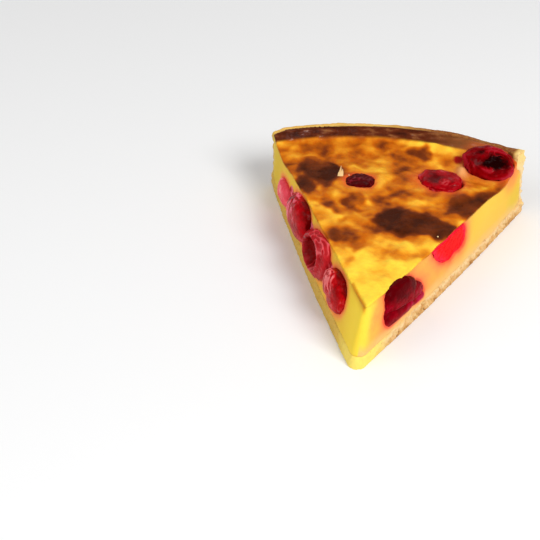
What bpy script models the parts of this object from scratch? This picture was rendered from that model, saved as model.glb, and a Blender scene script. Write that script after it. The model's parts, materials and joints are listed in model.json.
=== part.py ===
"""Slice of a baked cherry flan: a shortcrust shell, the custard that fills it, and its cherries.

Metres, +Z up. The tip of the slice points to -Y and the crust's rim to +Y. The base rests on Z = 0,
and the origin is under the middle of the slice.
"""

import math

import bmesh
import bpy
from mathutils import Matrix, Vector, noise

# The round flan that the slice is cut from
FLAN_AXIS = Vector((-0.0006, -0.0573))
RIM_RADIUS = 0.1209
CUSTARD_HEIGHT = 0.0242
GAP = 0.0003

# The two knife cuts, left then right, at the table and at the custard's top
CUT_ANGLES_LOW = (-26.5, 27.2)
CUT_ANGLES_HIGH = (-26.3, 26.2)
APEX_LOW = Vector((-0.0016, -0.0117))
APEX_HIGH = Vector((0.0005, -0.0006))
TIP_ROUND_LOW = 0.0038
TIP_ROUND_HIGH = 0.0012
BOW_LOW = (0.0014, 0.0011)
BOW_HIGH = (0.0001, 0.0008)
CUT_WAVE = 0.00022
CUT_WAVE_LENGTH = 0.013

# The shell: a flat base that turns up into a thin wall with a thicker lip
BASE_THICKNESS = 0.0050
BASE_WAVE = 0.00025
BASE_WAVE_LENGTH = 0.021
FOOT_BULGE = 0.0018
WALL_THICKNESS = 0.0019
WALL_HEIGHT = 0.0285
LIP_SWELL = 0.0018
LIP_WAVE = 0.00045
LIP_WAVE_LENGTH = 0.011
LEFT_DROOP = 0.0016
RIGHT_RISE = 0.0013
CORNER_LUMP = 0.0042
LUMP_ROOM = 0.0008
WALL_WAVE = 0.0003
WALL_WAVE_LENGTH = 0.012
CRUMB_DEPTH = 0.0010
CRUMB_LENGTH = 0.0052

# The custard's top: a low dome, a trough near the rim, and a steep climb up the wall
TROUGH_DEPTH = 0.0020
TROUGH_RADIUS = 0.1020
TROUGH_WIDTH = 0.0095
CLIMB_RADIUS = 0.1130
CLIMB_WIDTH = 0.0052
CLIMB_HEIGHT = 0.0040
CORNER_CLIMB = 0.0030
SIDE_LEAN = 0.021
TOP_WAVE = 0.00055
TOP_WAVE_LENGTH = 0.026

# Steps of the meshes
ACROSS_STEPS = 20
INNER_STEPS = 16
OUTER_STEPS = 8
FINE_FROM = 0.80
SHELL_LAYERS = 2
FLAT_WITHIN = 0.00001

# Cherries: the room round them, the bumps of their skin, and the hollow that a stone left in one
SOCKET_CLEARANCE = 0.0003
WRINKLE_LENGTH = 0.45
HALVED_PROUD = 0.0034
SKIN_THICKNESS = 0.0006
STONE_REACH = 0.0500
STONE_HEIGHT = 0.0138
STONE_SIZE = (0.0056, 0.0048, 0.0048, 0.0050, 0.0044)

# Sides of the slice, as plan() takes them
LEFT = -1.0
RIGHT = 1.0


def mix(a, b, share):
    return a + (b - a) * share


def smooth(x):
    x = min(1.0, max(0.0, x))
    return x * x * (3.0 - 2.0 * x)


def wave(x, y, z, length, seed):
    """Soft uneven swell from -1 to 1 whose bumps are about that length apart."""
    return noise.noise(Vector((x, y, z)) / length + Vector((seed, 2.7 * seed, -1.9 * seed)))


# The shell's outline as (radius, height) pairs, outside and inside, which share the mesh's rows
WALL_RADIUS = RIM_RADIUS - LIP_SWELL
INSIDE_RADIUS = WALL_RADIUS - WALL_THICKNESS
FOOT_RADIUS = WALL_RADIUS + FOOT_BULGE
OUTER_PROFILE = (
    (FOOT_RADIUS - 0.0024, 0.0),
    (FOOT_RADIUS - 0.0007, 0.2 * BASE_THICKNESS),
    (FOOT_RADIUS, 0.65 * BASE_THICKNESS),
    (FOOT_RADIUS - 0.0004, 1.15 * BASE_THICKNESS),
    (WALL_RADIUS + 0.0002, 1.55 * BASE_THICKNESS),
    (WALL_RADIUS, 0.42 * WALL_HEIGHT),
    (WALL_RADIUS + 0.2 * LIP_SWELL, 0.63 * WALL_HEIGHT),
    (WALL_RADIUS + 0.6 * LIP_SWELL, 0.82 * WALL_HEIGHT),
    (RIM_RADIUS, 0.93 * WALL_HEIGHT),
    (RIM_RADIUS - 0.0006, WALL_HEIGHT),
)
INNER_PROFILE = (
    (INSIDE_RADIUS - 0.0032, BASE_THICKNESS),
    (INSIDE_RADIUS - 0.0016, 1.04 * BASE_THICKNESS),
    (INSIDE_RADIUS - 0.0005, 1.2 * BASE_THICKNESS),
    (INSIDE_RADIUS - 0.0001, 1.52 * BASE_THICKNESS),
    (INSIDE_RADIUS, 1.92 * BASE_THICKNESS),
    (INSIDE_RADIUS, 0.51 * WALL_HEIGHT),
    (INSIDE_RADIUS + 0.0004, 0.67 * WALL_HEIGHT),
    (INSIDE_RADIUS + 0.0008, 0.83 * WALL_HEIGHT),
    (INSIDE_RADIUS + 0.0012, 0.92 * WALL_HEIGHT),
    (INSIDE_RADIUS + 0.0016, 0.995 * WALL_HEIGHT),
)
WALL_ROW_HEIGHTS = [INNER_PROFILE[row][1] for row in (2, 4, 5, 6, 7)]
LUMP_FROM, LUMP_TO = WALL_ROW_HEIGHTS[-2:]


def inside_radius(across, height):
    """Radius of the wall's inner side. The lip is thicker at the right-hand corner."""
    radius = INNER_PROFILE[-1][0]
    for (r0, z0), (r1, z1) in zip(INNER_PROFILE, INNER_PROFILE[1:]):
        if height <= z1:
            radius = mix(r0, r1, max(0.0, (height - z0) / (z1 - z0)))
            break
    return radius - corner_lump(across, height)


def corner_lump(across, height):
    """How much thicker the lip is there."""
    rise = smooth((height - LUMP_FROM) / (LUMP_TO - LUMP_FROM))
    return CORNER_LUMP * smooth((across - 0.80) / 0.20) * rise


def lip_level(across):
    """How much higher the lip is than elsewhere: it droops to the left cut and rises to the right."""
    return RIGHT_RISE * smooth((across - 0.84) / 0.14) - LEFT_DROOP * smooth((-0.88 - across) / 0.12)


def plan(across, along, height, rim_radius, proud=0.0):
    """Point of the slice in plan: across runs from -1 on the left cut to 1 on the right one, and
    along from 0 at the tip to 1 at rim_radius from the flan's axis. The cuts stand out by proud."""
    share = height / CUSTARD_HEIGHT
    apex = APEX_LOW.lerp(APEX_HIGH, share)
    turns = []
    for low, high in zip(CUT_ANGLES_LOW, CUT_ANGLES_HIGH):
        angle = math.radians(mix(low, high, share))
        corner = Vector((math.sin(angle), math.cos(angle))) * rim_radius - apex
        turns.append(math.atan2(corner.x, corner.y))
    half = (turns[1] - turns[0]) / 2.0
    offset = across * half
    rounding = max(TIP_ROUND_HIGH, mix(TIP_ROUND_LOW, TIP_ROUND_HIGH, share))
    centre = rounding / math.sin(half)
    inside = rounding**2 - (centre * math.sin(offset)) ** 2
    start = centre * math.cos(offset) - math.sqrt(max(0.0, inside))
    turn = (turns[0] + turns[1]) / 2.0 + offset
    direction = Vector((math.sin(turn), math.cos(turn)))
    towards = apex.dot(direction)
    reach = -towards + math.sqrt(towards**2 - apex.length_squared + rim_radius**2)
    point = apex + direction * mix(start, reach, along) + FLAN_AXIS
    side = 0 if across < 0.0 else 1
    bow = mix(BOW_LOW[side], BOW_HIGH[side], share) * math.sin(math.pi * along)
    ripple = CUT_WAVE * wave(point.x, point.y, height, CUT_WAVE_LENGTH, 3.1) * smooth(4.0 * along)
    outward = Vector((math.cos(turn), -math.sin(turn)))
    return point + outward * (across * (bow + ripple + proud))


def from_axis(point):
    return (Vector((point[0], point[1])) - FLAN_AXIS).length


def base_top(point):
    return BASE_THICKNESS + BASE_WAVE * wave(point[0], point[1], 0.0, BASE_WAVE_LENGTH, 5.3)


def custard_top(point, across):
    radius = from_axis(point)
    trough = TROUGH_DEPTH * math.exp(-(((radius - TROUGH_RADIUS) / TROUGH_WIDTH) ** 2))
    climb = smooth((radius - CLIMB_RADIUS) / CLIMB_WIDTH)
    corner = smooth((across - 0.55) / 0.4) * smooth((radius - 0.104) / 0.009) * (1.0 - climb)
    lean = -SIDE_LEAN * (point[0] - FLAN_AXIS.x) * smooth(2.5 * (1.0 - radius / RIM_RADIUS))
    swell = TOP_WAVE * wave(point[0], point[1], 0.0, TOP_WAVE_LENGTH, 1.7)
    rise = (CLIMB_HEIGHT + lip_level(across)) * climb + CORNER_CLIMB * corner
    return CUSTARD_HEIGHT - trough + rise + lean + swell


def along_levels():
    """Shares of the way from tip to rim, finer where the custard climbs the wall."""
    inner = [FINE_FROM * i / INNER_STEPS for i in range(INNER_STEPS)]
    outer = [mix(FINE_FROM, 1.0, i / OUTER_STEPS) for i in range(OUTER_STEPS + 1)]
    return inner + outer


def shaped_block(name, steps, place):
    """A cube subdivided into that many steps along X, Y and Z. place() then gives each vertex its
    point in space from its step numbers."""
    bm = bmesh.new()
    bmesh.ops.create_cube(bm, size=1.0)
    for axis, count in enumerate(steps):
        lengthwise = [e for e in bm.edges if abs(e.verts[0].co[axis] - e.verts[1].co[axis]) > 0.5]
        bmesh.ops.subdivide_edges(bm, edges=lengthwise, cuts=count - 1, use_grid_fill=True)
    for vertex in bm.verts:
        numbers = [round((vertex.co[axis] + 0.5) * count) for axis, count in enumerate(steps)]
        vertex.co = place(*numbers)
    return finished(name, bm)


def finished(name, bm):
    mesh = bpy.data.meshes.new(name)
    bm.to_mesh(mesh)
    bm.free()
    item = bpy.data.objects.new(name, mesh)
    bpy.context.scene.collection.objects.link(item)
    return item


def custard_block(name="custard", proud=0.0, skin=0.0):
    """The filling: its floor follows the base, its back the wall, and its top is the baked skin.
    With proud it stands out that much further at the two cuts, and with skin its top is lower."""
    levels = along_levels()
    heights = [BASE_THICKNESS, *WALL_ROW_HEIGHTS, WALL_HEIGHT]

    def place(column, row, layer):
        across = mix(LEFT, RIGHT, column / ACROSS_STEPS)
        share = (heights[layer] - heights[0]) / (heights[-1] - heights[0])
        height = mix(BASE_THICKNESS, CUSTARD_HEIGHT, share)
        for _ in range(6):
            beside_lump = smooth((across - 0.65) / 0.15) * smooth((height - LUMP_FROM) / 0.004 + 1.25)
            edge = inside_radius(across, height) - GAP - LUMP_ROOM * beside_lump
            point = plan(across, levels[row], height, edge, proud)
            height = mix(base_top(point) + GAP, custard_top(point, across) - skin, share)
        return Vector((point.x, point.y, height))

    return shaped_block(name, (ACROSS_STEPS, len(levels) - 1, len(heights) - 1), place)


def shell_block():
    """The pastry: one sheet of dough, flat under the custard and turned up at the rim."""
    levels = along_levels()
    base_rows = len(levels) - 1

    def place(column, row, layer):
        across = mix(LEFT, RIGHT, column / ACROSS_STEPS)
        on_wall = max(0, row - base_rows)
        outer_radius, outer_height = OUTER_PROFILE[on_wall]
        inner_radius, inner_height = INNER_PROFILE[on_wall]
        along = levels[min(row, base_rows)]
        under = plan(across, along, outer_height, outer_radius)
        over = plan(across, along, inner_height, inside_radius(across, inner_height))
        if on_wall <= 2:
            inner_height += base_top(over) - BASE_THICKNESS
        round_rim = math.atan2(under.x, under.y - FLAN_AXIS.y) * RIM_RADIUS
        lip = smooth((outer_height / WALL_HEIGHT - 0.6) / 0.4)
        ripple = LIP_WAVE * wave(round_rim, 0.0, 0.0, LIP_WAVE_LENGTH, 8.2)
        raised = lip * (ripple + lip_level(across))
        low = Vector((under.x, under.y, outer_height + raised))
        high = Vector((over.x, over.y, inner_height + raised))
        point = low.lerp(high, layer / SHELL_LAYERS)
        if column in (0, ACROSS_STEPS) and layer < SHELL_LAYERS:
            sideways = plan(across, along, outer_height, outer_radius, 1.0) - under
            crumb = wave(point.x, point.y, point.z, CRUMB_LENGTH, 6.6)
            point += (CRUMB_DEPTH * (0.3 + crumb) * sideways).to_3d()
        if on_wall and layer == 0:
            outward = (under - FLAN_AXIS).normalized().to_3d()
            point += outward * WALL_WAVE * wave(round_rim, point.z, 0.0, WALL_WAVE_LENGTH, 4.4)
        return point

    rows = base_rows + len(OUTER_PROFILE) - 1
    shell = shaped_block("pastry_shell", (ACROSS_STEPS, rows, SHELL_LAYERS), place)
    flatten_underside(shell)
    return shell


def flatten_underside(item):
    """Joins the faces of the flat underside into one."""
    bm = bmesh.new()
    bm.from_mesh(item.data)
    flat = {face for face in bm.faces if all(vertex.co.z < FLAT_WITHIN for vertex in face.verts)}
    edges = {edge for face in flat for edge in face.edges}
    inner = [edge for edge in edges if flat.issuperset(edge.link_faces)]
    bmesh.ops.dissolve_edges(bm, edges=inner, use_verts=True)
    bm.to_mesh(item.data)
    bm.free()


def on_cut(side, reach, height, depth, tilt=0.0):
    """Where something sits on a cut: the point that far along it from the tip and that deep in it,
    and a turn whose axes run along the cut to the rim, outward, and up. The tilt, in degrees,
    raises the end that is nearer to the tip."""
    along = reach / RIM_RADIUS
    point = plan(side, along, height, RIM_RADIUS)
    ahead = (plan(side, along + 0.02, height, RIM_RADIUS) - point).normalized()
    outward = Vector((side * ahead.y, -side * ahead.x, 0.0))
    turn = Matrix((ahead.to_3d(), outward, Vector((0.0, 0.0, 1.0)))).transposed()
    tilted = turn @ Matrix.Rotation(math.radians(tilt), 3, "Y")
    return Vector((point.x, point.y, height)) - outward * depth, tilted


def on_top(angle, reach, height):
    """Where something sits in the top, by its angle and distance from the flan's axis, and a turn
    whose axes run round the flan, outward, and up."""
    angle = math.radians(angle)
    outward = Vector((math.sin(angle), math.cos(angle), 0.0))
    round_flan = Vector((outward.y, -outward.x, 0.0))
    turn = Matrix((round_flan, outward, Vector((0.0, 0.0, 1.0)))).transposed()
    centre = FLAN_AXIS.to_3d() + outward * reach
    return Vector((centre.x, centre.y, height)), turn


def fruit(
    name, place, size, seed, wrinkles=0.0, dents=(), grooves=(), fullness=2.0, segments=16, grown=0.0
):
    """A cherry of half-sizes (along, outward, inward, up, down). A dent is (direction, width, depth)
    and a groove (axis, level, width, depth), all in the cherry's own turn and in shares of its
    size. A fullness over 2 squares it. A grown one is the smooth socket that the cherry sits in."""
    along, outward, inward, up, down = size
    centre, turn = place
    bm = bmesh.new()
    rings = round(segments * 0.6)
    bmesh.ops.create_uvsphere(bm, u_segments=segments, v_segments=rings, radius=1.0)
    for vertex in bm.verts:
        ray = vertex.co.normalized()
        full = sum(abs(part) ** fullness for part in ray) ** (-1.0 / fullness)
        radius = 1.0
        if not grown:
            radius -= wrinkles * max(0.0, 0.8 + wave(ray.x, ray.y, ray.z, WRINKLE_LENGTH, seed))
            for direction, width, depth in dents:
                radius -= depth * math.exp(-((ray.angle(Vector(direction)) / width) ** 2))
            for axis, level, width, depth in grooves:
                across = (ray.dot(Vector(axis)) - level) / width
                radius -= depth * math.exp(-(across**2)) * smooth(2.0 * ray.y)
        sizes = (along, outward if ray.y > 0.0 else inward, up if ray.z > 0.0 else down)
        local = Vector([full * radius * part * length for part, length in zip(ray, sizes)])
        vertex.co = centre + turn @ (local + ray * grown)
        lowest = base_top(vertex.co) + (0.5 * GAP if grown else GAP + SOCKET_CLEARANCE)
        vertex.co.z = max(vertex.co.z, lowest)
    if turn.determinant() < 0.0:
        bmesh.ops.reverse_faces(bm, faces=bm.faces)
    return finished(name, bm)


def combine(item, other, operation):
    """Cuts or trims one object by another and removes the second."""
    modifier = item.modifiers.new(operation.lower(), "BOOLEAN")
    modifier.operation = operation
    modifier.solver = "EXACT"
    modifier.object = other
    bpy.context.view_layer.update()
    result = item.evaluated_get(bpy.context.evaluated_depsgraph_get())
    mesh = bpy.data.meshes.new_from_object(result)
    item.modifiers.clear()
    item.data = mesh
    bpy.data.objects.remove(other)
    return item


# Each cherry: its place, its half-sizes along, outward, inward, up and down, and its misshapes
CHERRIES = {
    "cherry_top_large": dict(
        place=on_top(20.7, 0.1092, 0.0262),
        size=(0.0115, 0.0078, 0.0082, 0.0058, 0.0125),
        wrinkles=0.10,
        dents=(((0.25, -0.15, 1.0), 0.50, 0.55),),
        segments=22,
        seed=11.0,
    ),
    "cherry_top_middle": dict(
        place=on_top(12.9, 0.0899, 0.0234),
        size=(0.0101, 0.0088, 0.0086, 0.0028, 0.0120),
        wrinkles=0.14,
        dents=(((-0.3, -0.2, 1.0), 0.40, 0.25),),
        segments=18,
        seed=23.0,
    ),
    "cherry_top_small": dict(
        place=on_top(-8.4, 0.0815, 0.0240),
        size=(0.0070, 0.0062, 0.0062, 0.0012, 0.0110),
        wrinkles=0.12,
        segments=16,
        seed=37.0,
    ),
    "cherry_left_rim": dict(
        place=on_cut(LEFT, 0.0953, 0.0116, 0.0008),
        size=(0.0082, 0.0036, 0.0050, 0.0058, 0.0054),
        wrinkles=0.08,
        fullness=2.5,
        segments=16,
        seed=41.0,
    ),
    "cherry_left_upper": dict(
        place=on_cut(LEFT, 0.0722, 0.0146, 0.0006, tilt=10.0),
        size=(0.0126, 0.0050, 0.0082, 0.0090, 0.0090),
        wrinkles=0.05,
        dents=(((0.5, 0.6, 0.6), 0.35, 0.12),),
        fullness=2.7,
        segments=20,
        seed=53.0,
    ),
    "cherry_left_halved": dict(
        place=on_cut(LEFT, 0.0464, 0.0148, 0.0, tilt=10.0),
        size=(0.0124, 0.0050, 0.0084, 0.0087, 0.0087),
        wrinkles=0.04,
        fullness=2.7,
        segments=20,
        seed=67.0,
    ),
    "cherry_left_tip": dict(
        place=on_cut(LEFT, 0.0234, 0.0139, 0.0006, tilt=10.0),
        size=(0.0098, 0.0046, 0.0060, 0.0086, 0.0080),
        wrinkles=0.06,
        grooves=(((0.8, 0.0, 0.6), 0.05, 0.16, 0.12),),
        fullness=2.5,
        segments=20,
        seed=71.0,
    ),
    "cherry_right_cut": dict(
        place=on_cut(RIGHT, 0.0575, 0.0192, 0.0, tilt=18.0),
        size=(0.0150, 0.0060, 0.0066, 0.0080, 0.0062),
        wrinkles=0.07,
        segments=18,
        seed=83.0,
    ),
    "cherry_right_folded": dict(
        place=on_cut(RIGHT, 0.0242, 0.0140, 0.0006, tilt=14.0),
        size=(0.0146, 0.0030, 0.0068, 0.0084, 0.0080),
        wrinkles=0.05,
        grooves=(((-0.16, 0.0, 1.0), -0.20, 0.12, 0.30),),
        fullness=2.6,
        segments=22,
        seed=97.0,
    ),
}


def add_cherries(custard):
    """Cuts a smooth socket for each cherry in the custard and puts the wrinkled cherry in it. The
    knife went through two of them, and the custard's skin covers one of those."""
    for name, shape in CHERRIES.items():
        cherry = fruit(name, **shape)
        socket = fruit("socket", grown=SOCKET_CLEARANCE, **shape)
        if name == "cherry_right_cut":
            combine(cherry, custard_block("flush", 0.0, SKIN_THICKNESS + GAP), "INTERSECT")
            combine(socket, custard_block("under_skin", 2.0 * GAP, SKIN_THICKNESS), "INTERSECT")
        if name == "cherry_left_halved":
            combine(cherry, custard_block("proud", HALVED_PROUD), "INTERSECT")
            stone = on_cut(LEFT, STONE_REACH, STONE_HEIGHT, -HALVED_PROUD)
            combine(cherry, fruit("stone_hollow", stone, STONE_SIZE, 0.0), "DIFFERENCE")
        combine(custard, socket, "DIFFERENCE")


# Finishes as (red, green, blue, roughness), with the colours as a screen shows them
FINISHES = {
    "pastry_shell": (0.87, 0.72, 0.45, 0.85),
    "custard": (0.93, 0.66, 0.25, 0.45),
    "cherry_right_cut": (0.82, 0.07, 0.12, 0.35),
    "cherry_left_rim": (0.80, 0.33, 0.34, 0.35),
}
DARK_CHERRY = (0.48, 0.06, 0.07, 0.30)


def colour(item):
    """Gives an object its own material."""
    *shown, roughness = FINISHES.get(item.name, DARK_CHERRY)
    material = bpy.data.materials.new(item.name)
    material.use_nodes = True
    shader = material.node_tree.nodes["Principled BSDF"]
    shader.inputs["Base Color"].default_value = [value**2.2 for value in shown] + [1.0]
    shader.inputs["Roughness"].default_value = roughness
    shader.inputs["Metallic"].default_value = 0.0
    item.data.materials.clear()
    item.data.materials.append(material)


def clear_scene():
    for item in list(bpy.data.objects):
        bpy.data.objects.remove(item)


def main():
    clear_scene()
    shell_block()
    custard = custard_block()
    add_cherries(custard)
    for item in bpy.data.objects:
        colour(item)


main()
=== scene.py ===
"""Slice of cherry flan with its finish: crumbly pastry, custard with a browned skin, wet cherries.

Metres, +Z up. The tip points to -Y, the crust's rim to +Y, and the base rests on Z = 0.
"""

import json
import math

import bmesh
import bpy
import numpy as np
from mathutils import Matrix, Vector, kdtree, noise

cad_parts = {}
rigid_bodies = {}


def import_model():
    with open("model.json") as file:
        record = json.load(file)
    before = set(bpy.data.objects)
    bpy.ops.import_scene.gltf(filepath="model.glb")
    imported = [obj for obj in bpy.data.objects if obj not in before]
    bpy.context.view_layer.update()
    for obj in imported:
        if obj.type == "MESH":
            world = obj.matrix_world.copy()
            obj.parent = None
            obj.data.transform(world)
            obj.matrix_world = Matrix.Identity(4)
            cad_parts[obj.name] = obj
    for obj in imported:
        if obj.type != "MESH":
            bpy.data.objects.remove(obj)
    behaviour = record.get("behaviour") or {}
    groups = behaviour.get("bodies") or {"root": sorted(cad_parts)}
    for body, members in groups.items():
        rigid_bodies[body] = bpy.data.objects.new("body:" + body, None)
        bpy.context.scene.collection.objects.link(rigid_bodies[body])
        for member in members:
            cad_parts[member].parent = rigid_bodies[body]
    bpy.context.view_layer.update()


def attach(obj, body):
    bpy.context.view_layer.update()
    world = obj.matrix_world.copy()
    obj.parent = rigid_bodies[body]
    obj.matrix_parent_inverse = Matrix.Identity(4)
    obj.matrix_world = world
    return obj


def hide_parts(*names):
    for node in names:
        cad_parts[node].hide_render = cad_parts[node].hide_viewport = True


bl_info = {
    "name": "Cherry Flan Slice",
    "version": (1, 0, 0),
    "blender": (4, 5, 0),
    "location": "View3D > Sidebar > Flan",
    "description": "Models and finishes one slice of a baked cherry flan",
    "category": "Add Mesh",
}

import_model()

MM = 0.001

# The round flan that the slice is cut from
FLAN_AXIS = np.array((-0.0006, -0.0573))
RIM_RADIUS = 0.1209
CUSTARD_HEIGHT = 0.0242

# The two knife cuts, left then right, at the table and at the custard's top
CUT_ANGLES_LOW = (-26.5, 27.2)
CUT_ANGLES_HIGH = (-26.3, 26.2)
APEX_LOW = np.array((-0.0016, -0.0117))
APEX_HIGH = np.array((0.0005, -0.0006))
TIP_ROUND_LOW = 0.0038
TIP_ROUND_HIGH = 0.0012
BOW_LOW = (0.0014, 0.0011)
BOW_HIGH = (0.0001, 0.0008)
CUT_WAVE = 0.00022
CUT_WAVE_LENGTH = 0.013
LEFT = -1.0
RIGHT = 1.0

# The shell: a flat base that turns up into a thin wall with a thicker lip
BASE_THICKNESS = 0.0050
BASE_WAVE = 0.00025
BASE_WAVE_LENGTH = 0.021
FOOT_BULGE = 0.0018
WALL_THICKNESS = 0.0019
WALL_HEIGHT = 0.0285
LIP_SWELL = 0.0018
LIP_WAVE = 0.00045
LIP_WAVE_LENGTH = 0.011
LEFT_DROOP = 0.0016
RIGHT_RISE = 0.0013
CORNER_LUMP = 0.0042
WALL_WAVE = 0.0003
WALL_WAVE_LENGTH = 0.012

# The custard's top: a low dome, a trough near the rim, and a steep climb up the wall
TROUGH_DEPTH = 0.0020
TROUGH_RADIUS = 0.1020
TROUGH_WIDTH = 0.0095
CLIMB_RADIUS = 0.1130
CLIMB_WIDTH = 0.0052
CLIMB_HEIGHT = 0.0040
CORNER_CLIMB = 0.0030
SIDE_LEAN = 0.021
TOP_WAVE = 0.00055
TOP_WAVE_LENGTH = 0.026

# The halved cherry: its flat front, which leans along and up, and the hollow of its stone
HALVED_PROUD = 0.0034
HALVED_LEAN = (0.09, -0.17)
HALVED_SOFTNESS = 0.0007
FIBRE_HEIGHT = 0.00028
STONE_REACH = 0.0472
STONE_HEIGHT = 0.0158
STONE_SIZE = (0.0072, 0.0060)
STONE_DEPTH = 0.0044
STONE_LIP = 0.0007


def mix(a, b, share):
    return a + (b - a) * share


def smooth(x):
    """0 up to 0, 1 from 1, and a soft rise between them."""
    x = np.clip(x, 0.0, 1.0)
    return x * x * (3.0 - 2.0 * x)


def shift(seed):
    return Vector((seed, 2.7 * seed, -1.9 * seed))


def waves(points, length, seed):
    """Soft uneven swell from -1 to 1 at each point, whose bumps are about that length apart. The
    length may be three lengths, along X, Y and Z."""
    offset = shift(seed)
    return np.array([noise.noise(Vector(place) + offset) for place in points / np.array(length)])


def wave(x, y, z, length, seed):
    """The same swell at one point."""
    return noise.noise(Vector((x, y, z)) / length + shift(seed))


def swells(points, parts):
    """The sum of several swells, each a strength, a length and a seed."""
    return sum(strength * waves(points, length, seed) for strength, length, seed in parts)


def creases(points, length, seed, width):
    """Thin lines, 1 in the middle of a crease and 0 away from it."""
    return 1.0 - smooth(np.abs(waves(points, length, seed)) / width)


# The shell's outline as (radius, height) pairs, outside and inside, which share the mesh's rows
WALL_RADIUS = RIM_RADIUS - LIP_SWELL
INSIDE_RADIUS = WALL_RADIUS - WALL_THICKNESS
FOOT_RADIUS = WALL_RADIUS + FOOT_BULGE
OUTER_PROFILE = (
    (FOOT_RADIUS - 0.0024, 0.0),
    (FOOT_RADIUS - 0.0007, 0.2 * BASE_THICKNESS),
    (FOOT_RADIUS, 0.65 * BASE_THICKNESS),
    (FOOT_RADIUS - 0.0004, 1.15 * BASE_THICKNESS),
    (WALL_RADIUS + 0.0002, 1.55 * BASE_THICKNESS),
    (WALL_RADIUS, 0.42 * WALL_HEIGHT),
    (WALL_RADIUS + 0.2 * LIP_SWELL, 0.63 * WALL_HEIGHT),
    (WALL_RADIUS + 0.6 * LIP_SWELL, 0.82 * WALL_HEIGHT),
    (RIM_RADIUS, 0.93 * WALL_HEIGHT),
    (RIM_RADIUS - 0.0006, WALL_HEIGHT),
)
INNER_PROFILE = (
    (INSIDE_RADIUS - 0.0032, BASE_THICKNESS),
    (INSIDE_RADIUS - 0.0016, 1.04 * BASE_THICKNESS),
    (INSIDE_RADIUS - 0.0005, 1.2 * BASE_THICKNESS),
    (INSIDE_RADIUS - 0.0001, 1.52 * BASE_THICKNESS),
    (INSIDE_RADIUS, 1.92 * BASE_THICKNESS),
    (INSIDE_RADIUS, 0.51 * WALL_HEIGHT),
    (INSIDE_RADIUS + 0.0004, 0.67 * WALL_HEIGHT),
    (INSIDE_RADIUS + 0.0008, 0.83 * WALL_HEIGHT),
    (INSIDE_RADIUS + 0.0012, 0.92 * WALL_HEIGHT),
    (INSIDE_RADIUS + 0.0016, 0.995 * WALL_HEIGHT),
)
LUMP_FROM, LUMP_TO = (INNER_PROFILE[row][1] for row in (6, 7))


def profile_point(profile, row):
    """Point of an outline between its rows, on a smooth curve through them."""
    first = min(int(row), len(profile) - 2)
    share = row - first
    last = len(profile) - 1
    p0, p1, p2, p3 = (np.array(profile[min(max(first + step, 0), last)]) for step in (-1, 0, 1, 2))
    bend = (2.0 * p0 - 5.0 * p1 + 4.0 * p2 - p3) * share**2
    turn = (3.0 * p1 - p0 - 3.0 * p2 + p3) * share**3
    return 0.5 * (2.0 * p1 + (p2 - p0) * share + bend + turn)


def corner_lump(across, height):
    """How much thicker the lip is at the right-hand corner."""
    rise = smooth((height - LUMP_FROM) / (LUMP_TO - LUMP_FROM))
    return CORNER_LUMP * smooth((across - 0.80) / 0.20) * rise


def inside_radius(across, height):
    radii, heights = zip(*INNER_PROFILE)
    return np.interp(height, heights, radii) - corner_lump(across, height)


def lip_level(across):
    """How much higher the lip is than elsewhere: it droops to the left cut and rises to the right."""
    return RIGHT_RISE * smooth((across - 0.84) / 0.14) - LEFT_DROOP * smooth((-0.88 - across) / 0.12)


def apex_at(share):
    """Where the two cuts would meet, at that share of the custard's height."""
    return APEX_LOW + (APEX_HIGH - APEX_LOW) * np.asarray(share)[..., None]


def cut_turns(share, radius, apex):
    """Directions of the two cuts from there."""
    turns = []
    for low, high in zip(CUT_ANGLES_LOW, CUT_ANGLES_HIGH):
        angle = np.radians(mix(low, high, share))
        x = np.sin(angle) * radius - apex[..., 0]
        y = np.cos(angle) * radius - apex[..., 1]
        turns.append(np.arctan2(x, y))
    return turns


def plan(across, along, height, rim_radius):
    """Point of the slice in plan: across runs from -1 on the left cut to 1 on the right one, and
    along from 0 at the tip to 1 at rim_radius from the flan's axis."""
    share = height / CUSTARD_HEIGHT
    apex = apex_at(share)
    turns = cut_turns(share, rim_radius, apex)
    half = (turns[1] - turns[0]) / 2.0
    offset = across * half
    rounding = max(TIP_ROUND_HIGH, mix(TIP_ROUND_LOW, TIP_ROUND_HIGH, share))
    centre = rounding / math.sin(half)
    inside = rounding**2 - (centre * math.sin(offset)) ** 2
    start = centre * math.cos(offset) - math.sqrt(max(0.0, inside))
    turn = (turns[0] + turns[1]) / 2.0 + offset
    direction = np.array((math.sin(turn), math.cos(turn)))
    towards = apex @ direction
    reach = -towards + math.sqrt(towards**2 - apex @ apex + rim_radius**2)
    point = apex + direction * mix(start, reach, along) + FLAN_AXIS
    side = 0 if across < 0.0 else 1
    bow = mix(BOW_LOW[side], BOW_HIGH[side], share) * math.sin(math.pi * along)
    ripple = CUT_WAVE * wave(point[0], point[1], height, CUT_WAVE_LENGTH, 3.1) * smooth(4.0 * along)
    outward = np.array((math.cos(turn), -math.sin(turn)))
    return point + outward * (across * (bow + ripple))


def base_top(points):
    """Height of the base's top under each point."""
    flat = points * (1.0, 1.0, 0.0)
    return BASE_THICKNESS + BASE_WAVE * waves(flat, BASE_WAVE_LENGTH, 5.3)


def from_axis(points):
    return np.hypot(points[:, 0] - FLAN_AXIS[0], points[:, 1] - FLAN_AXIS[1])


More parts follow.
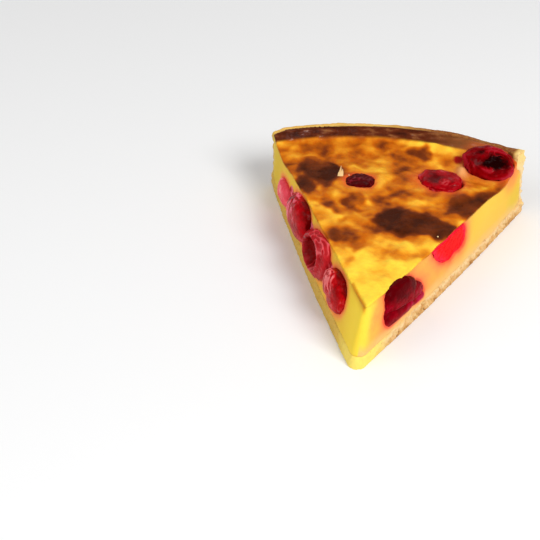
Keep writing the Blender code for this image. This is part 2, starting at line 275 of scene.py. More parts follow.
def across_of(points):
    """How far across the slice each point is, from -1 on the left cut to 1 on the right one, and
    its distances from the cuts' meeting line and from the nearer cut."""
    share = points[:, 2] / CUSTARD_HEIGHT
    apex = apex_at(share)
    turns = cut_turns(share, INSIDE_RADIUS, apex)
    half = (turns[1] - turns[0]) / 2.0
    ray = points[:, :2] - FLAN_AXIS - apex
    reach = np.hypot(ray[:, 0], ray[:, 1])
    across = (np.arctan2(ray[:, 0], ray[:, 1]) - (turns[0] + turns[1]) / 2.0) / half
    right = across > 0.0
    bow = np.where(right, mix(BOW_LOW[1], BOW_HIGH[1], share), mix(BOW_LOW[0], BOW_HIGH[0], share))
    bow = bow * np.sin(math.pi * np.clip(reach / RIM_RADIUS, 0.0, 1.0))
    return across, reach, (1.0 - np.abs(across)) * half * reach + bow


def custard_top(points, across):
    """Height of the custard's top at each point."""
    radius = from_axis(points)
    trough = TROUGH_DEPTH * np.exp(-(((radius - TROUGH_RADIUS) / TROUGH_WIDTH) ** 2))
    climb = smooth((radius - CLIMB_RADIUS) / CLIMB_WIDTH)
    corner = smooth((across - 0.55) / 0.4) * smooth((radius - 0.104) / 0.009) * (1.0 - climb)
    lean = -SIDE_LEAN * (points[:, 0] - FLAN_AXIS[0]) * smooth(2.5 * (1.0 - radius / RIM_RADIUS))
    swell = TOP_WAVE * waves(points * (1.0, 1.0, 0.0), TOP_WAVE_LENGTH, 1.7)
    rise = (CLIMB_HEIGHT + lip_level(across)) * climb + CORNER_CLIMB * corner
    return CUSTARD_HEIGHT - trough + rise + lean + swell


def one_custard_top(x, y, across):
    return float(custard_top(np.array(((x, y, 0.0),)), np.array((across,)))[0])


def one_base_top(x, y):
    return float(base_top(np.array(((x, y, 0.0),)))[0])


def on_cut(side, reach, height, depth, tilt=0.0):
    """Where something sits on a cut: the point that far along it from the tip and that deep in it,
    and a turn whose columns run along the cut to the rim, outward, and up. The tilt, in degrees,
    raises the end that is nearer to the tip."""
    along = reach / RIM_RADIUS
    point = plan(side, along, height, RIM_RADIUS)
    ahead = plan(side, along + 0.02, height, RIM_RADIUS) - point
    ahead = ahead / np.hypot(*ahead)
    outward = np.array((side * ahead[1], -side * ahead[0], 0.0))
    turn = np.array(((*ahead, 0.0), outward, (0.0, 0.0, 1.0))).T
    turn = turn @ np.array(Matrix.Rotation(math.radians(tilt), 3, "Y"))
    return np.array((*point, height)) - outward * depth, turn


def on_top(angle, reach, height):
    """Where something sits in the top, by its angle and distance from the flan's axis, and a turn
    whose columns run round the flan, outward, and up."""
    angle = math.radians(angle)
    outward = np.array((math.sin(angle), math.cos(angle), 0.0))
    turn = np.array(((outward[1], -outward[0], 0.0), outward, (0.0, 0.0, 1.0))).T
    centre = np.array((*FLAN_AXIS, height)) + outward * reach
    return centre, turn


class Cherry:
    """One cherry. What it is given sets it apart from a plain one. Its size is five half-sizes:
    along, outward, inward, up and down. Its colours are those of its skin, of its darkest parts,
    which are painted shade in its dents, grooves, stone hollow and shaded side and the dark flesh
    of a burst crater, and of its paler flesh, which also paints its highlights, as a screen shows
    them."""

    fullness = 2.0
    # Dents are (direction, width, depth), and grooves (axis, level along it, width, depth)
    dents = ()
    grooves = ()
    # Factors of its outline at some angles, in degrees, turning from the rim's side upwards
    outline = ()
    # Direction of the part of the skin where pale streaks are painted as highlights
    painted_highlight_side = ()
    # Direction of the cherry's shaded side, which painted shade darkens
    painted_shade_side = ()
    # Cut flush with the knife cut, or pressed flat with its stone out
    flush = False
    halved = False
    subdivisions = 6
    slot = "cherry"
    shine = 0.055
    wetness = 0.25
    # How much smaller the outline is that cuts its place in the custard
    inset = 0.0008
    # How far the red fringe round it goes, and how strong it is
    fringe = 0.0003
    fringe_strength = 0.45

    def __init__(self, **own):
        vars(self).update(own)


# The cherries of the top, then those of the left cut from the rim to the tip, then of the right
CHERRIES = {
    "cherry_top_large": Cherry(
        place=on_top(20.7, 0.1092, 0.0262),
        size=(0.0115, 0.0078, 0.0082, 0.0058, 0.0125),
        wrinkles=0.10,
        dents=(((0.50, -0.60, 0.72), 0.58, 0.34), ((-0.55, -0.2, 1.0), 0.30, 0.07)),
        seed=11.0,
        colours=((0.56, 0.0, 0.03), (0.10, 0.0, 0.0), (0.68, 0.12, 0.18)),
        subdivisions=7,
        shine=0.018,
        fringe=0.0005,
    ),
    "cherry_top_middle": Cherry(
        place=on_top(12.9, 0.0899, 0.0234),
        size=(0.0101, 0.0088, 0.0086, 0.0028, 0.0120),
        wrinkles=0.14,
        dents=(((-0.3, -0.2, 1.0), 0.40, 0.25),),
        seed=23.0,
        colours=((0.66, 0.0, 0.05), (0.36, 0.0, 0.01), (0.76, 0.26, 0.28)),
        fringe=0.0006,
    ),
    "cherry_top_small": Cherry(
        place=on_top(-8.4, 0.0815, 0.0240),
        size=(0.0070, 0.0062, 0.0062, 0.0012, 0.0110),
        wrinkles=0.12,
        seed=37.0,
        colours=((0.32, 0.0, 0.01), (0.16, 0.0, 0.0), (0.50, 0.10, 0.14)),
        shine=0.025,
    ),
    "cherry_left_rim": Cherry(
        place=on_cut(LEFT, 0.0953, 0.0116, 0.0008),
        size=(0.0082, 0.0036, 0.0050, 0.0058, 0.0054),
        wrinkles=0.08,
        fullness=2.5,
        seed=41.0,
        colours=((0.98, 0.36, 0.42), (0.84, 0.18, 0.24), (1.0, 0.56, 0.56)),
        slot="cherry_flesh",
        wetness=0.1,
    ),
    "cherry_left_upper": Cherry(
        place=on_cut(LEFT, 0.0722, 0.0146, 0.0006, tilt=10.0),
        size=(0.0126, 0.0050, 0.0082, 0.0090, 0.0090),
        wrinkles=0.05,
        dents=(((0.5, 0.6, 0.6), 0.35, 0.12),),
        fullness=2.7,
        painted_highlight_side=(0.60, 0.40, 0.50),
        painted_shade_side=(-0.75, -0.50, 0.45),
        seed=53.0,
        colours=((0.74, 0.0, 0.05), (0.40, 0.0, 0.0), (0.98, 0.46, 0.54)),
    ),
    "cherry_left_halved": Cherry(
        place=on_cut(LEFT, 0.0464, 0.0148, 0.0, tilt=10.0),
        size=(0.0124, 0.0050, 0.0084, 0.0087, 0.0087),
        wrinkles=0.04,
        fullness=2.7,
        seed=67.0,
        colours=((0.76, 0.14, 0.17), (0.50, 0.0, 0.0), (0.88, 0.36, 0.38)),
        halved=True,
    ),
    "cherry_left_tip": Cherry(
        place=on_cut(LEFT, 0.0234, 0.0139, 0.0006, tilt=10.0),
        size=(0.0098, 0.0046, 0.0060, 0.0086, 0.0080),
        wrinkles=0.06,
        grooves=(((0.8, 0.0, 0.6), 0.05, 0.16, 0.12),),
        fullness=2.5,
        painted_highlight_side=(0.40, 0.60, 0.40),
        painted_shade_side=(-0.40, -0.65, 0.70),
        seed=71.0,
        colours=((0.76, 0.0, 0.04), (0.42, 0.0, 0.0), (0.98, 0.50, 0.50)),
    ),
    "cherry_right_cut": Cherry(
        place=on_cut(RIGHT, 0.0575, 0.0192, 0.0, tilt=18.0),
        size=(0.0150, 0.0060, 0.0066, 0.0080, 0.0062),
        wrinkles=0.03,
        outline=(
            (-125, 1.02), (-104, 1.22), (-82, 1.18), (-66, 0.86), (-46, 0.92), (-20, 0.84), (15, 0.80),
            (40, 0.90), (64, 1.03), (120, 1.0), (197, 0.94), (218, 0.92),
        ),
        painted_highlight_side=(-0.70, 0.0, -0.60),
        seed=83.0,
        colours=((0.94, 0.0, 0.04), (0.88, 0.0, 0.02), (0.96, 0.12, 0.24)),
        flush=True,
        slot="cherry_flesh",
        shine=0.015,
        wetness=0.0,
        inset=0.0002,
        fringe=0.0012,
        fringe_strength=1.0,
    ),
    "cherry_right_folded": Cherry(
        place=on_cut(RIGHT, 0.0242, 0.0140, 0.0006, tilt=14.0),
        size=(0.0146, 0.0030, 0.0068, 0.0084, 0.0080),
        wrinkles=0.05,
        grooves=(((-0.16, 0.0, 1.0), -0.20, 0.10, 0.24),),
        fullness=2.6,
        outline=(
            (-24, 1.08), (-3, 0.97), (25, 0.82), (58, 0.76), (80, 1.0), (95, 1.16), (120, 1.10),
            (144, 1.12), (165, 0.95), (186, 0.91), (210, 1.0), (228, 1.14), (240, 1.24), (262, 0.95),
            (302, 0.68), (320, 0.85),
        ),
        painted_highlight_side=(0.55, 0.35, -0.35),
        painted_shade_side=(-0.25, 0.25, 0.90),
        seed=97.0,
        colours=((0.56, 0.0, 0.07), (0.34, 0.0, 0.02), (0.70, 0.08, 0.24)),
        shine=0.012,
        wetness=0.05,
        fringe=0.0007,
        fringe_strength=1.0,
    ),
}
CUTTER_SUBDIVISIONS = 5
# How far the flush cherry and its cutter pass the cut, and how far fruit stays from skin and base
FLUSH_PROUD = 0.00015
CUTTER_PROUD = 0.0012
SKIN_THICKNESS = 0.0006
BASE_CLEARANCE = 0.0003
# Bumps of the fruit's skin. Lengths and heights are shares of the fruit's half-size
WRINKLE_LENGTH = 0.45
FINE_LENGTH = 0.16
FINE_HEIGHT = 0.012
# Folds of the skin round a dent, as distances from it over its width, and folds elsewhere
RING_FOLDS = (1.45, 1.95, 2.6)
RING_WIDTH = 0.17
FOLD_LENGTH = (0.30, 0.30, 0.80)
FOLD_WIDTH = 0.20
FOLD_HEIGHT = 0.058
# Length of the pale streaks painted as highlights
HIGHLIGHT_STREAK_LENGTH = (0.14, 0.20, 0.50)
# How much painted shade darkens a dent and a groove for their depth, which in the large top
# cherry's crater also stands for its dark torn flesh, and how dark the painted shade of a
# cherry's shaded side is
DENT_SHADE_AND_DARK_FLESH = 3.2
GROOVE_SHADE = 1.2
SIDE_SHADE = 0.6


def fruit_skin(shape, rays):
    """How far out a cherry's skin lies in each direction, the painted shade of its hollows and its
    shaded side, and its pale ridges, which are partly painted highlights.
    """
    seed = shape.seed
    radius = 1.0 - shape.wrinkles * np.maximum(0.0, 0.8 + waves(rays, WRINKLE_LENGTH, seed))
    hollow = np.zeros(len(rays))
    pale_folds_and_highlights = np.zeros(len(rays))
    warp = 0.20 * np.stack([waves(rays, 0.7, seed + step) for step in (2.0, 3.0, 4.0)], axis=1)
    patches = waves(rays, 0.8, seed + 8.0)
    for direction, width, deep in shape.dents:
        unit = np.array(Vector(direction).normalized())
        angle = np.arccos(np.clip(rays @ unit, -1.0, 1.0))
        uneven = np.arccos(np.clip((rays + 0.6 * warp) @ unit, -1.0, 1.0))
        radius -= deep * np.exp(-((angle / width) ** 2))
        # Painted shade in the dent, darker for a deeper dent; in the burst crater it also stands for dark
        # flesh
        hollow += DENT_SHADE_AND_DARK_FLESH * deep * np.exp(-((uneven / width) ** 2))
        # Pale ridges round a dent, partly pale flesh and partly painted highlight
        for ring in RING_FOLDS:
            near = np.exp(-(((uneven / width - ring) / RING_WIDTH) ** 2))
            pale_folds_and_highlights += near * smooth(0.7 + 2.0 * patches) * min(1.0, 3.0 * deep)
    for axis, level, width, deep in shape.grooves:
        off = ((rays + 0.3 * warp) @ np.array(axis) - level) / width
        groove = np.exp(-(off**2)) * smooth(2.0 * rays[:, 1])
        radius -= deep * groove
        # Painted shade in the groove, darker for a deeper groove
        hollow += GROOVE_SHADE * deep * groove
    # Pale ridges elsewhere, partly pale flesh and partly painted highlight
    lines = creases(rays + warp, FOLD_LENGTH, seed + 6.0, FOLD_WIDTH)
    pale_folds_and_highlights += lines * smooth(0.35 + 2.5 * patches)
    # Pale streaks painted as highlights on the side that faces the light
    if shape.painted_highlight_side:
        streaks = waves(rays + warp, HIGHLIGHT_STREAK_LENGTH, seed + 14.0)
        pale = smooth((rays @ np.array(shape.painted_highlight_side) - 0.35) / 0.35)
        pale_folds_and_highlights = pale_folds_and_highlights * 0.3 + pale * smooth(0.5 + 2.2 * streaks)
    # Painted shade on the side that faces away from the light
    if shape.painted_shade_side:
        hollow += SIDE_SHADE * smooth((rays @ np.array(shape.painted_shade_side) - 0.35) / 0.5)
    pale_folds_and_highlights = np.minimum(pale_folds_and_highlights, 1.0) * (1.0 - np.clip(hollow, 0.0, 1.0))
    radius += FOLD_HEIGHT * pale_folds_and_highlights + FINE_HEIGHT * waves(rays, FINE_LENGTH, seed + 12.0)
    return radius, hollow, pale_folds_and_highlights


def cherry_surface(shape, rays, cutter=False):
    """Points of a cherry in the directions of those rays, the painted shade of its hollows and its
    shaded side, and its pale ridges, which are partly painted highlights. The cutter is its smooth
    outline, a little smaller, so that custard and cherry leave no gap."""
    along, outward, inward, up, down = shape.size
    centre, turn = shape.place
    full = (np.abs(rays) ** shape.fullness).sum(axis=1) ** (-1.0 / shape.fullness)
    radius, hollow, pale_folds_and_highlights = (1.0, None, None) if cutter else fruit_skin(shape, rays)
    sizes = np.stack(
        (
            np.full(len(rays), along),
            np.where(rays[:, 1] > 0.0, outward, inward),
            np.where(rays[:, 2] > 0.0, up, down),
        ),
        axis=1,
    )
    local = rays * sizes * (full * radius)[:, None]
    if shape.outline:
        angles, factors = zip(*shape.outline)
        angle = np.degrees(np.arctan2(rays[:, 2], rays[:, 0]))
        local[:, [0, 2]] *= np.interp(angle, angles, factors, period=360.0)[:, None]
    if cutter:
        local -= rays * shape.inset
    elif shape.flush:
        pale_folds_and_highlights = np.maximum(pale_folds_and_highlights, smooth((np.hypot(rays[:, 0], rays[:, 2]) - 0.76) / 0.24))
    elif shape.halved:
        local, stone_shade = halve(local, rays, shape)
        # The stone's hollow adds its painted shade
        hollow += stone_shade
    points = centre + local @ turn.T
    if shape.flush:
        points = trim_at_cut(points, shape, cutter)
    points[:, 2] = np.maximum(points[:, 2], base_top(points) + BASE_CLEARANCE)
    return points, hollow, pale_folds_and_highlights


def halve(local, rays, shape):
    """Flattens the front of the halved cherry, softly, presses in the hollow of its stone, and gives
    the painted shade of that hollow.
    """
    stone_centre, _ = on_cut(LEFT, STONE_REACH, STONE_HEIGHT, -HALVED_PROUD)
    centre, turn = shape.place
    stone = (stone_centre - centre) @ turn
    front_plane = HALVED_PROUD + HALVED_LEAN[0] * local[:, 0] + HALVED_LEAN[1] * local[:, 2]
    over = (local[:, 1] - front_plane) / HALVED_SOFTNESS
    fibres = FIBRE_HEIGHT * waves(rays, (0.10, 0.3, 0.10), shape.seed) * smooth(over / 0.5)
    local[:, 1] -= HALVED_SOFTNESS * np.log1p(np.exp(np.clip(over, -30.0, 30.0))) - fibres
    off = (local - stone)[:, [0, 2]] / np.array(STONE_SIZE)
    away = np.hypot(*off.T) + 0.12 * waves(rays, 0.35, shape.seed + 3.0)
    front = smooth(local[:, 1] / MM)
    hollow = np.sqrt(np.clip(1.0 - away**2, 0.0, 1.0)) * front
    lip = np.exp(-(((away - 1.12) / 0.16) ** 2)) * front
    local[:, 1] += STONE_LIP * lip - STONE_DEPTH * hollow
    # Painted shade in the stone's hollow, darker where the hollow is deeper
    return local, smooth(1.4 * hollow)


def trim_at_cut(points, shape, cutter):
    """Cuts the cherry flush with the knife cut and keeps it under the custard's skin."""
    centre, turn = shape.place
    front = (points - centre) @ turn[:, 1]
    limit = CUTTER_PROUD if cutter else FLUSH_PROUD
    points = points - np.outer(np.maximum(0.0, front - limit), turn[:, 1])
    across, _, _ = across_of(points)
    roof = custard_top(points, across) - SKIN_THICKNESS - (shape.inset if cutter else 0.0)
    points[:, 2] = np.minimum(points[:, 2], roof)
    return points


# Modelling


def deselect():
    for item in bpy.context.view_layer.objects:
        item.select_set(False)


def only(item):
    """Makes it the one object that operators act on."""
    deselect()
    item.select_set(True)
    bpy.context.view_layer.objects.active = item


def added(name):
    item = bpy.context.view_layer.objects.active
    item.name = name
    item.data.name = name
    return item


def get_points(item):
    points = np.empty(3 * len(item.data.vertices), dtype=np.float32)
    item.data.vertices.foreach_get("co", points)
    return points.reshape(-1, 3).astype(float)


def set_points(item, points):
    item.data.vertices.foreach_set("co", points.astype(np.float32).ravel())
    item.data.update()


def get_normals(item):
    normals = np.empty(3 * len(item.data.vertices), dtype=np.float32)
    item.data.vertices.foreach_get("normal", normals)
    return normals.reshape(-1, 3).astype(float)


def mark(item, **marks):
    """Keeps values for each vertex, which the materials read by their names."""
    for name, values in marks.items():
        layer = item.data.attributes.new(name, "FLOAT", "POINT")
        layer.data.foreach_set("value", values.astype(np.float32))


def ball(name, subdivisions, radius):
    deselect()
    bpy.ops.mesh.primitive_ico_sphere_add(
        subdivisions=subdivisions, radius=radius, location=(0.0, 0.0, 0.0)
    )
    return added(name)


def gridded_block(name, steps, place):
    """A cube cut into that many steps along X, Y and Z. place() then gives each vertex its point
    in space from its step numbers."""
    deselect()
    bpy.ops.mesh.primitive_cube_add(size=1.0, location=(0.0, 0.0, 0.0))
    item = added(name)
    bpy.ops.object.mode_set(mode="EDIT")
    bpy.ops.mesh.select_mode(type="EDGE")
    for axis, count in enumerate(steps):
        bpy.ops.mesh.select_all(action="DESELECT")
        bm = bmesh.from_edit_mesh(item.data)
        for edge in bm.edges:
            edge.select_set(abs(edge.verts[0].co[axis] - edge.verts[1].co[axis]) > 0.5)
        bmesh.update_edit_mesh(item.data)
        bpy.ops.mesh.subdivide(number_cuts=count - 1)
    bpy.ops.object.mode_set(mode="OBJECT")
    numbers = np.rint((get_points(item) + 0.5) * np.array(steps)).astype(int)
    set_points(item, np.array([place(*number) for number in numbers]))
    return item


def apply_modifier(item, kind, **settings):
    only(item)
    modifier = item.modifiers.new(kind.lower(), kind)
    for setting, value in settings.items():
        setattr(modifier, setting, value)
    bpy.ops.object.modifier_apply(modifier=modifier.name)


def remesh(item, voxel):
    apply_modifier(item, "REMESH", mode="VOXEL", voxel_size=voxel, use_smooth_shade=True)
    apply_modifier(item, "SMOOTH", factor=0.5, iterations=2)


def finish_piece(item, material, slot, *nodes):
    """Shades a piece smooth, gives it its material, and lets it ride on the slice."""
    only(item)
    bpy.ops.object.shade_smooth()
    item.data.materials.clear()
    item.data.materials.append(material)
    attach(item, "root")
    if nodes:
        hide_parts(*nodes)


# Materials


def linear(colour):
    """A colour as a screen shows it, in the linear values that a shader takes."""
    return [value / 12.92 if value <= 0.04045 else ((value + 0.055) / 1.055) ** 2.4 for value in colour]


class Flow:
    """The value of a socket. Arithmetic on it adds the Math nodes that work it out."""

    def __init__(self, finish, socket):
        self.finish = finish
        self.socket = socket

    def math(self, operation, *values, clamp=False):
        settings = {"operation": operation, "use_clamp": clamp}
        return self.finish.node("ShaderNodeMath", settings, dict(enumerate(values)))

    def __add__(self, other):
        return self.math("ADD", self, other)

    def __sub__(self, other):
        return self.math("SUBTRACT", self, other)

    def __rsub__(self, other):
        return self.math("SUBTRACT", other, self)

    def __mul__(self, other):
        return self.math("MULTIPLY", self, other)

    __radd__ = __add__
    __rmul__ = __mul__

    def held(self):
        """Kept between 0 and 1."""
        return self.math("ADD", self, 0.0, clamp=True)


SHADER_SOCKETS = {
    "specular": "Specular IOR Level",
    "subsurface": "Subsurface Weight",
    "subsurface_scale": "Subsurface Scale",
    "coat_roughness": "Coat Roughness",
}


class Finish:
    """A material and the few ways that this slice's finishes are put together."""

    def __init__(self, name, **constants):
        self.material = bpy.data.materials.new(name)
        self.material.use_nodes = True
        self.tree = self.material.node_tree
        self.shader = self.tree.nodes["Principled BSDF"]
        self.place = self.node("ShaderNodeTexCoord", output="Object")
        for socket, value in constants.items():
            self.put(self.shader.inputs[SHADER_SOCKETS[socket]], value)

    def put(self, socket, value):
        if isinstance(value, Flow):
            self.tree.links.new(value.socket, socket)
        else:
            socket.default_value = value

    def node(self, kind, settings=None, inputs=None, output=0):
        node = self.tree.nodes.new(kind)
        for name, value in (settings or {}).items():
            if name == "stops":
                self.set_stops(node.color_ramp, value)
            else:
                setattr(node, name, value)
        for name, value in (inputs or {}).items():
            self.put(node.inputs[name], value)
        return Flow(self, node.outputs[output])

    def set_stops(self, ramp, stops):
        while len(ramp.elements) < len(stops):
            ramp.elements.new(1.0)
        for element, (position, colour) in zip(ramp.elements, stops):
            element.position = position
            element.color = (*linear(colour), 1.0)

    def marked(self, name):
        settings = {"attribute_type": "GEOMETRY", "attribute_name": name}
        return self.node("ShaderNodeAttribute", settings, output="Fac")

    def grain(self, length, detail=2.0, roughness=0.5, seed=0.0, stretch=(1.0, 1.0, 1.0)):
        """Uneven noise from 0 to 1 whose patches are about that length across."""
        scale = [1.0 / (length * part) for part in stretch]
        inputs = {"Vector": self.place, "Scale": scale, "Location": (seed, seed * 0.7, -seed)}
        place = self.node("ShaderNodeMapping", None, inputs)
        inputs = {"Vector": place, "Scale": 1.0, "Detail": detail, "Roughness": roughness}
        return self.node("ShaderNodeTexNoise", None, inputs)

    def blend(self, factor, first, second):
        """The first colour where the factor is 0 or less and the second where it is 1 or more."""
        inputs = {0: factor, 6: self.paint(first), 7: self.paint(second)}
        return self.node("ShaderNodeMix", {"data_type": "RGBA"}, inputs, output=2)

    def layers(self, colour, *over):
        """A colour with others over it, each where its factor says."""
        for factor, layer in over:
            colour = self.blend(factor, colour, layer)
        return colour

    def paint(self, colour):
        return colour if isinstance(colour, Flow) else (*linear(colour), 1.0)

    def ramp(self, value, *stops):
        return self.node("ShaderNodeValToRGB", {"stops": stops}, {"Fac": value})

    def step(self, value, low, high):
        """0 below low, 1 above high, and smooth between them."""
        settings = {"interpolation_type": "SMOOTHSTEP"}
        inputs = {"Value": value, "From Min": low, "From Max": high}
        return self.node("ShaderNodeMapRange", settings, inputs)

    def bump(self, height, depth):
        inputs = {"Height": height, "Distance": depth, "Strength": 1.0}
        return self.node("ShaderNodeBump", None, inputs)

    def done(self, colour, roughness=None, normal=None, coat=None):
        self.put(self.shader.inputs["Base Color"], colour)
        for socket, value in (("Roughness", roughness), ("Normal", normal), ("Coat Weight", coat)):
            if value is not None:
                self.put(self.shader.inputs[socket], value)
        return self.material


# Browned patches of the top in millimetres: place, half-sizes, turn in degrees, and strength
BROWNED_PATCHES = (
    (-32.0, 40.0, 16.0, 17.0, 0, 0.55),
    (-4.0, 51.0, 16.0, 7.0, 8, 0.52),
    (2.0, 42.0, 9.0, 7.0, -20, 0.56),
    (12.0, 55.5, 14.0, 3.0, -6, 0.26),
    (8.0, 24.0, 14.0, 9.0, 0, 0.47),
    (31.0, 33.0, 5.0, 4.5, 0, 0.36),
    (-3.0, 2.0, 24.0, 17.0, 0, 0.42),
    (-22.0, -2.0, 5.0, 7.0, 20, 0.30),
    (-2.0, 7.0, 6.0, 3.0, 0, 0.38),
    (20.0, 4.5, 3.5, 3.5, 0, 0.38),
    (18.0, -13.0, 4.0, 6.0, -25, 0.20),
    (-16.0, 15.0, 9.0, 6.0, 0, 0.52),
    (-29.0, 28.0, 11.5, 10.5, -12, 0.66),
    (-29.5, 29.0, 8.5, 8.0, -12, 0.96),
    (-33.5, 16.0, 4.2, 7.5, 26, 0.88),
    (-33.0, 35.0, 5.5, 5.5, 0, 0.80),
    (-24.0, 5.0, 7.0, 2.6, -30, 0.66),
    (-12.5, 8.0, 4.6, 7.0, 5, 0.76),
    (-12.5, -6.0, 5.2, 3.0, 0, 0.56),
    (-12.0, -15.5, 11.0, 6.0, -4, 0.62),
    (-14.0, -15.0, 8.0, 4.2, -4, 0.70),
    (-7.5, -21.5, 3.2, 4.6, -10, 0.60),
    (1.5, 13.2, 10.0, 2.9, 14, 0.66),
    (9.0, 17.0, 6.0, 3.1, 20, 0.66),
    (18.5, 10.5, 3.6, 4.0, 0, 0.55),
    (9.5, -2.0, 15.5, 11.5, 0, 0.62),
    (8.5, -1.5, 13.0, 9.4, 0, 0.93),
    (20.0, -4.0, 7.0, 5.4, 8, 0.86),
    (30.0, 14.0, 8.5, 9.5, -25, 0.66),
    (30.5, 14.0, 6.0, 7.5, -25, 0.84),
    (38.0, 24.5, 4.4, 7.5, -30, 0.74),
    (44.5, 33.5, 2.4, 6.0, -26, 0.62),
    (10.0, 50.2, 4.2, 4.2, 0, 0.74),
    (0.0, 45.0, 4.2, 3.4, -20, 0.72),
    (4.0, 30.5, 3.6, 6.5, 0, 0.60),
    (-18.0, 44.5, 3.4, 3.0, 0, 0.66),
    (-38.5, 43.0, 3.0, 6.5, -20, 0.66),
    (8.5, -22.5, 2.8, 4.6, -15, 0.42),
    (0.5, -20.0, 4.2, 3.4, 0, 0.34),
    (-11.5, -28.0, 2.6, 6.5, 24, 0.44),
    (-2.0, -42.0, 4.0, 3.0, 0, 0.24),
)

# Places that cherry juice stains, in millimetres: place, half-sizes and strength
JUICE_SPOTS = (
    ((25.5, 48.5, 24.0), (2.8, 3.2, 3.0), 1.0),
    ((12.0, 31.0, 24.0), (4.0, 6.0, 3.0), 0.55),
    ((28.0, 31.0, 24.0), (2.4, 6.5, 3.0), 0.75),
    ((36.5, 37.5, 24.0), (7.5, 3.2, 4.0), 0.50),
    ((24.0, 50.5, 23.0), (6.0, 4.0, 4.0), 0.30),
    ((-6.5, -45.5, 8.0), (3.0, 6.0, 4.0), 0.45),
)
# How far juice soaks into the custard from a cherry on the left and on the right, and at most
STAIN_REACH_LEFT = 0.0018
STAIN_REACH_RIGHT = 0.0034
FARTHEST_STAIN = 0.010

# Torn fruit between the cherries of the left cut: distance from the tip, height and half-size
PULP_SPOTS = ((0.0875, 0.0165, 0.0032), (0.0595, 0.0165, 0.0042), (0.0345, 0.0165, 0.0040))

# The pale custard that bulges between the two larger cherries of the top
LUMP_PLACE = (0.0275, 0.0405)
LUMP_SIZE = (0.0023, 0.0044)
LUMP_HEIGHT = 0.0021

# The short crease beside the left edge of the tip
TIP_CREASE = ((-0.0065, -0.0443), (-0.0007, -0.0565))

# The skin's dips stay over the cherry that lies under it
DEEPEST_DIP = 0.00035

# How wide the edges of the patches are: a share of their half-sizes where pale, and millimetres
# where dark
SOFT_EDGE = 1.3
CRISP_EDGE = 3.4

# How browned the skin is between the patches, and what the rim's end and the tip's add to that
PLAIN_BROWNING = 0.27
RIM_BROWNING = 0.15
TIP_BROWNING = -0.15

# The custard's mesh: its rows are closer together from here to the rim, and its heights, which
# depend on each other, are worked out that many times
CLOSE_ROWS_FROM = 0.80
HEIGHT_PASSES = 3

# The skin reaches a little way down the cuts, softly, and lies where the surface looks up
SKIN_REACH = 0.0003
SKIN_FADE = 0.0007
SKIN_SLOPE = 0.35
BAND_EDGE = 0.0012
TIP_CREASE_WIDTH = 0.0006
FACE_DEPTH = 0.0006

# Swells as (strength, length, seed): the skin's puffs, the warp of its patches, its mottling, the
# ripples of the band along the rim, the knife's marks, the pastry's crumb and its baked bumps
PUFFS = ((1.0, 0.0100, 12.5), (0.9, 0.0054, 14.1), (0.3, 0.0026, 16.0))
WARP_X = ((0.0034, 0.0080, 31.0), (0.0014, 0.0032, 32.0))
WARP_Y = ((0.0034, 0.0080, 41.0), (0.0014, 0.0032, 42.0))
MOTTLE = ((0.22, 0.0070, 51.0), (0.10, 0.0028, 52.0))
BAND_RIPPLES = ((1.0, (0.016, 0.0019, 0.0019), 23.0), (0.5, (0.005, 0.001, 0.001), 24.0))
KNIFE_MARKS = ((1.0, (0.05, 0.05, 0.0021), 61.0),)
CRUMB = ((0.50, 0.0026, 71.0), (0.40, 0.0013, 72.0))
BAKED_BUMPS = ((0.5, 0.0070, 75.0), (0.4, 0.0022, 76.0))
# How much the puffs' tops are painted paler and the dips between them browner, as painted light and shade
PUFF_PAINTED_SHADING = 0.15


def browning_and_puff_shade(points):
    """How far the skin is baked, from 0 pale yellow to 1 nearly black, with the tops of its puffs
    painted paler as painted light and the dips between them browner as painted shade.
    """
    flat = points * (1.0, 1.0, 0.0)
    x = (points[:, 0] + swells(flat, WARP_X)) / MM
    y = (points[:, 1] + swells(flat, WARP_Y)) / MM
    browned = PLAIN_BROWNING + RIM_BROWNING * smooth((y + 22.0) / 50.0)
    browned += TIP_BROWNING * smooth((-22.0 - y) / 22.0)
    for centre_x, centre_y, half_x, half_y, turn, strength in BROWNED_PATCHES:
        cosine = math.cos(math.radians(turn))
        sine = math.sin(math.radians(turn))
        off_x = x - centre_x
        off_y = y - centre_y
        along = (off_x * cosine + off_y * sine) / half_x
        beside = (off_y * cosine - off_x * sine) / half_y
        crisp = smooth((strength - 0.50) / 0.25)
        edge = mix(SOFT_EDGE, CRISP_EDGE / min(half_x, half_y), crisp)
        patch = smooth(0.5 + (1.0 - np.hypot(along, beside)) / edge)
        browned = mix(browned, strength, patch)
    # Random mottling, with painted light on the puffs' tops and painted shade between them
    mottle_and_puff_shade = swells(flat, MOTTLE) - PUFF_PAINTED_SHADING * swells(flat, PUFFS)
    even = 0.6 * smooth((browned - 0.65) / 0.25)
    return browned + mottle_and_puff_shade * (0.45 + 0.55 * smooth((y + 45.0) / 34.0)) * (1.0 - even)


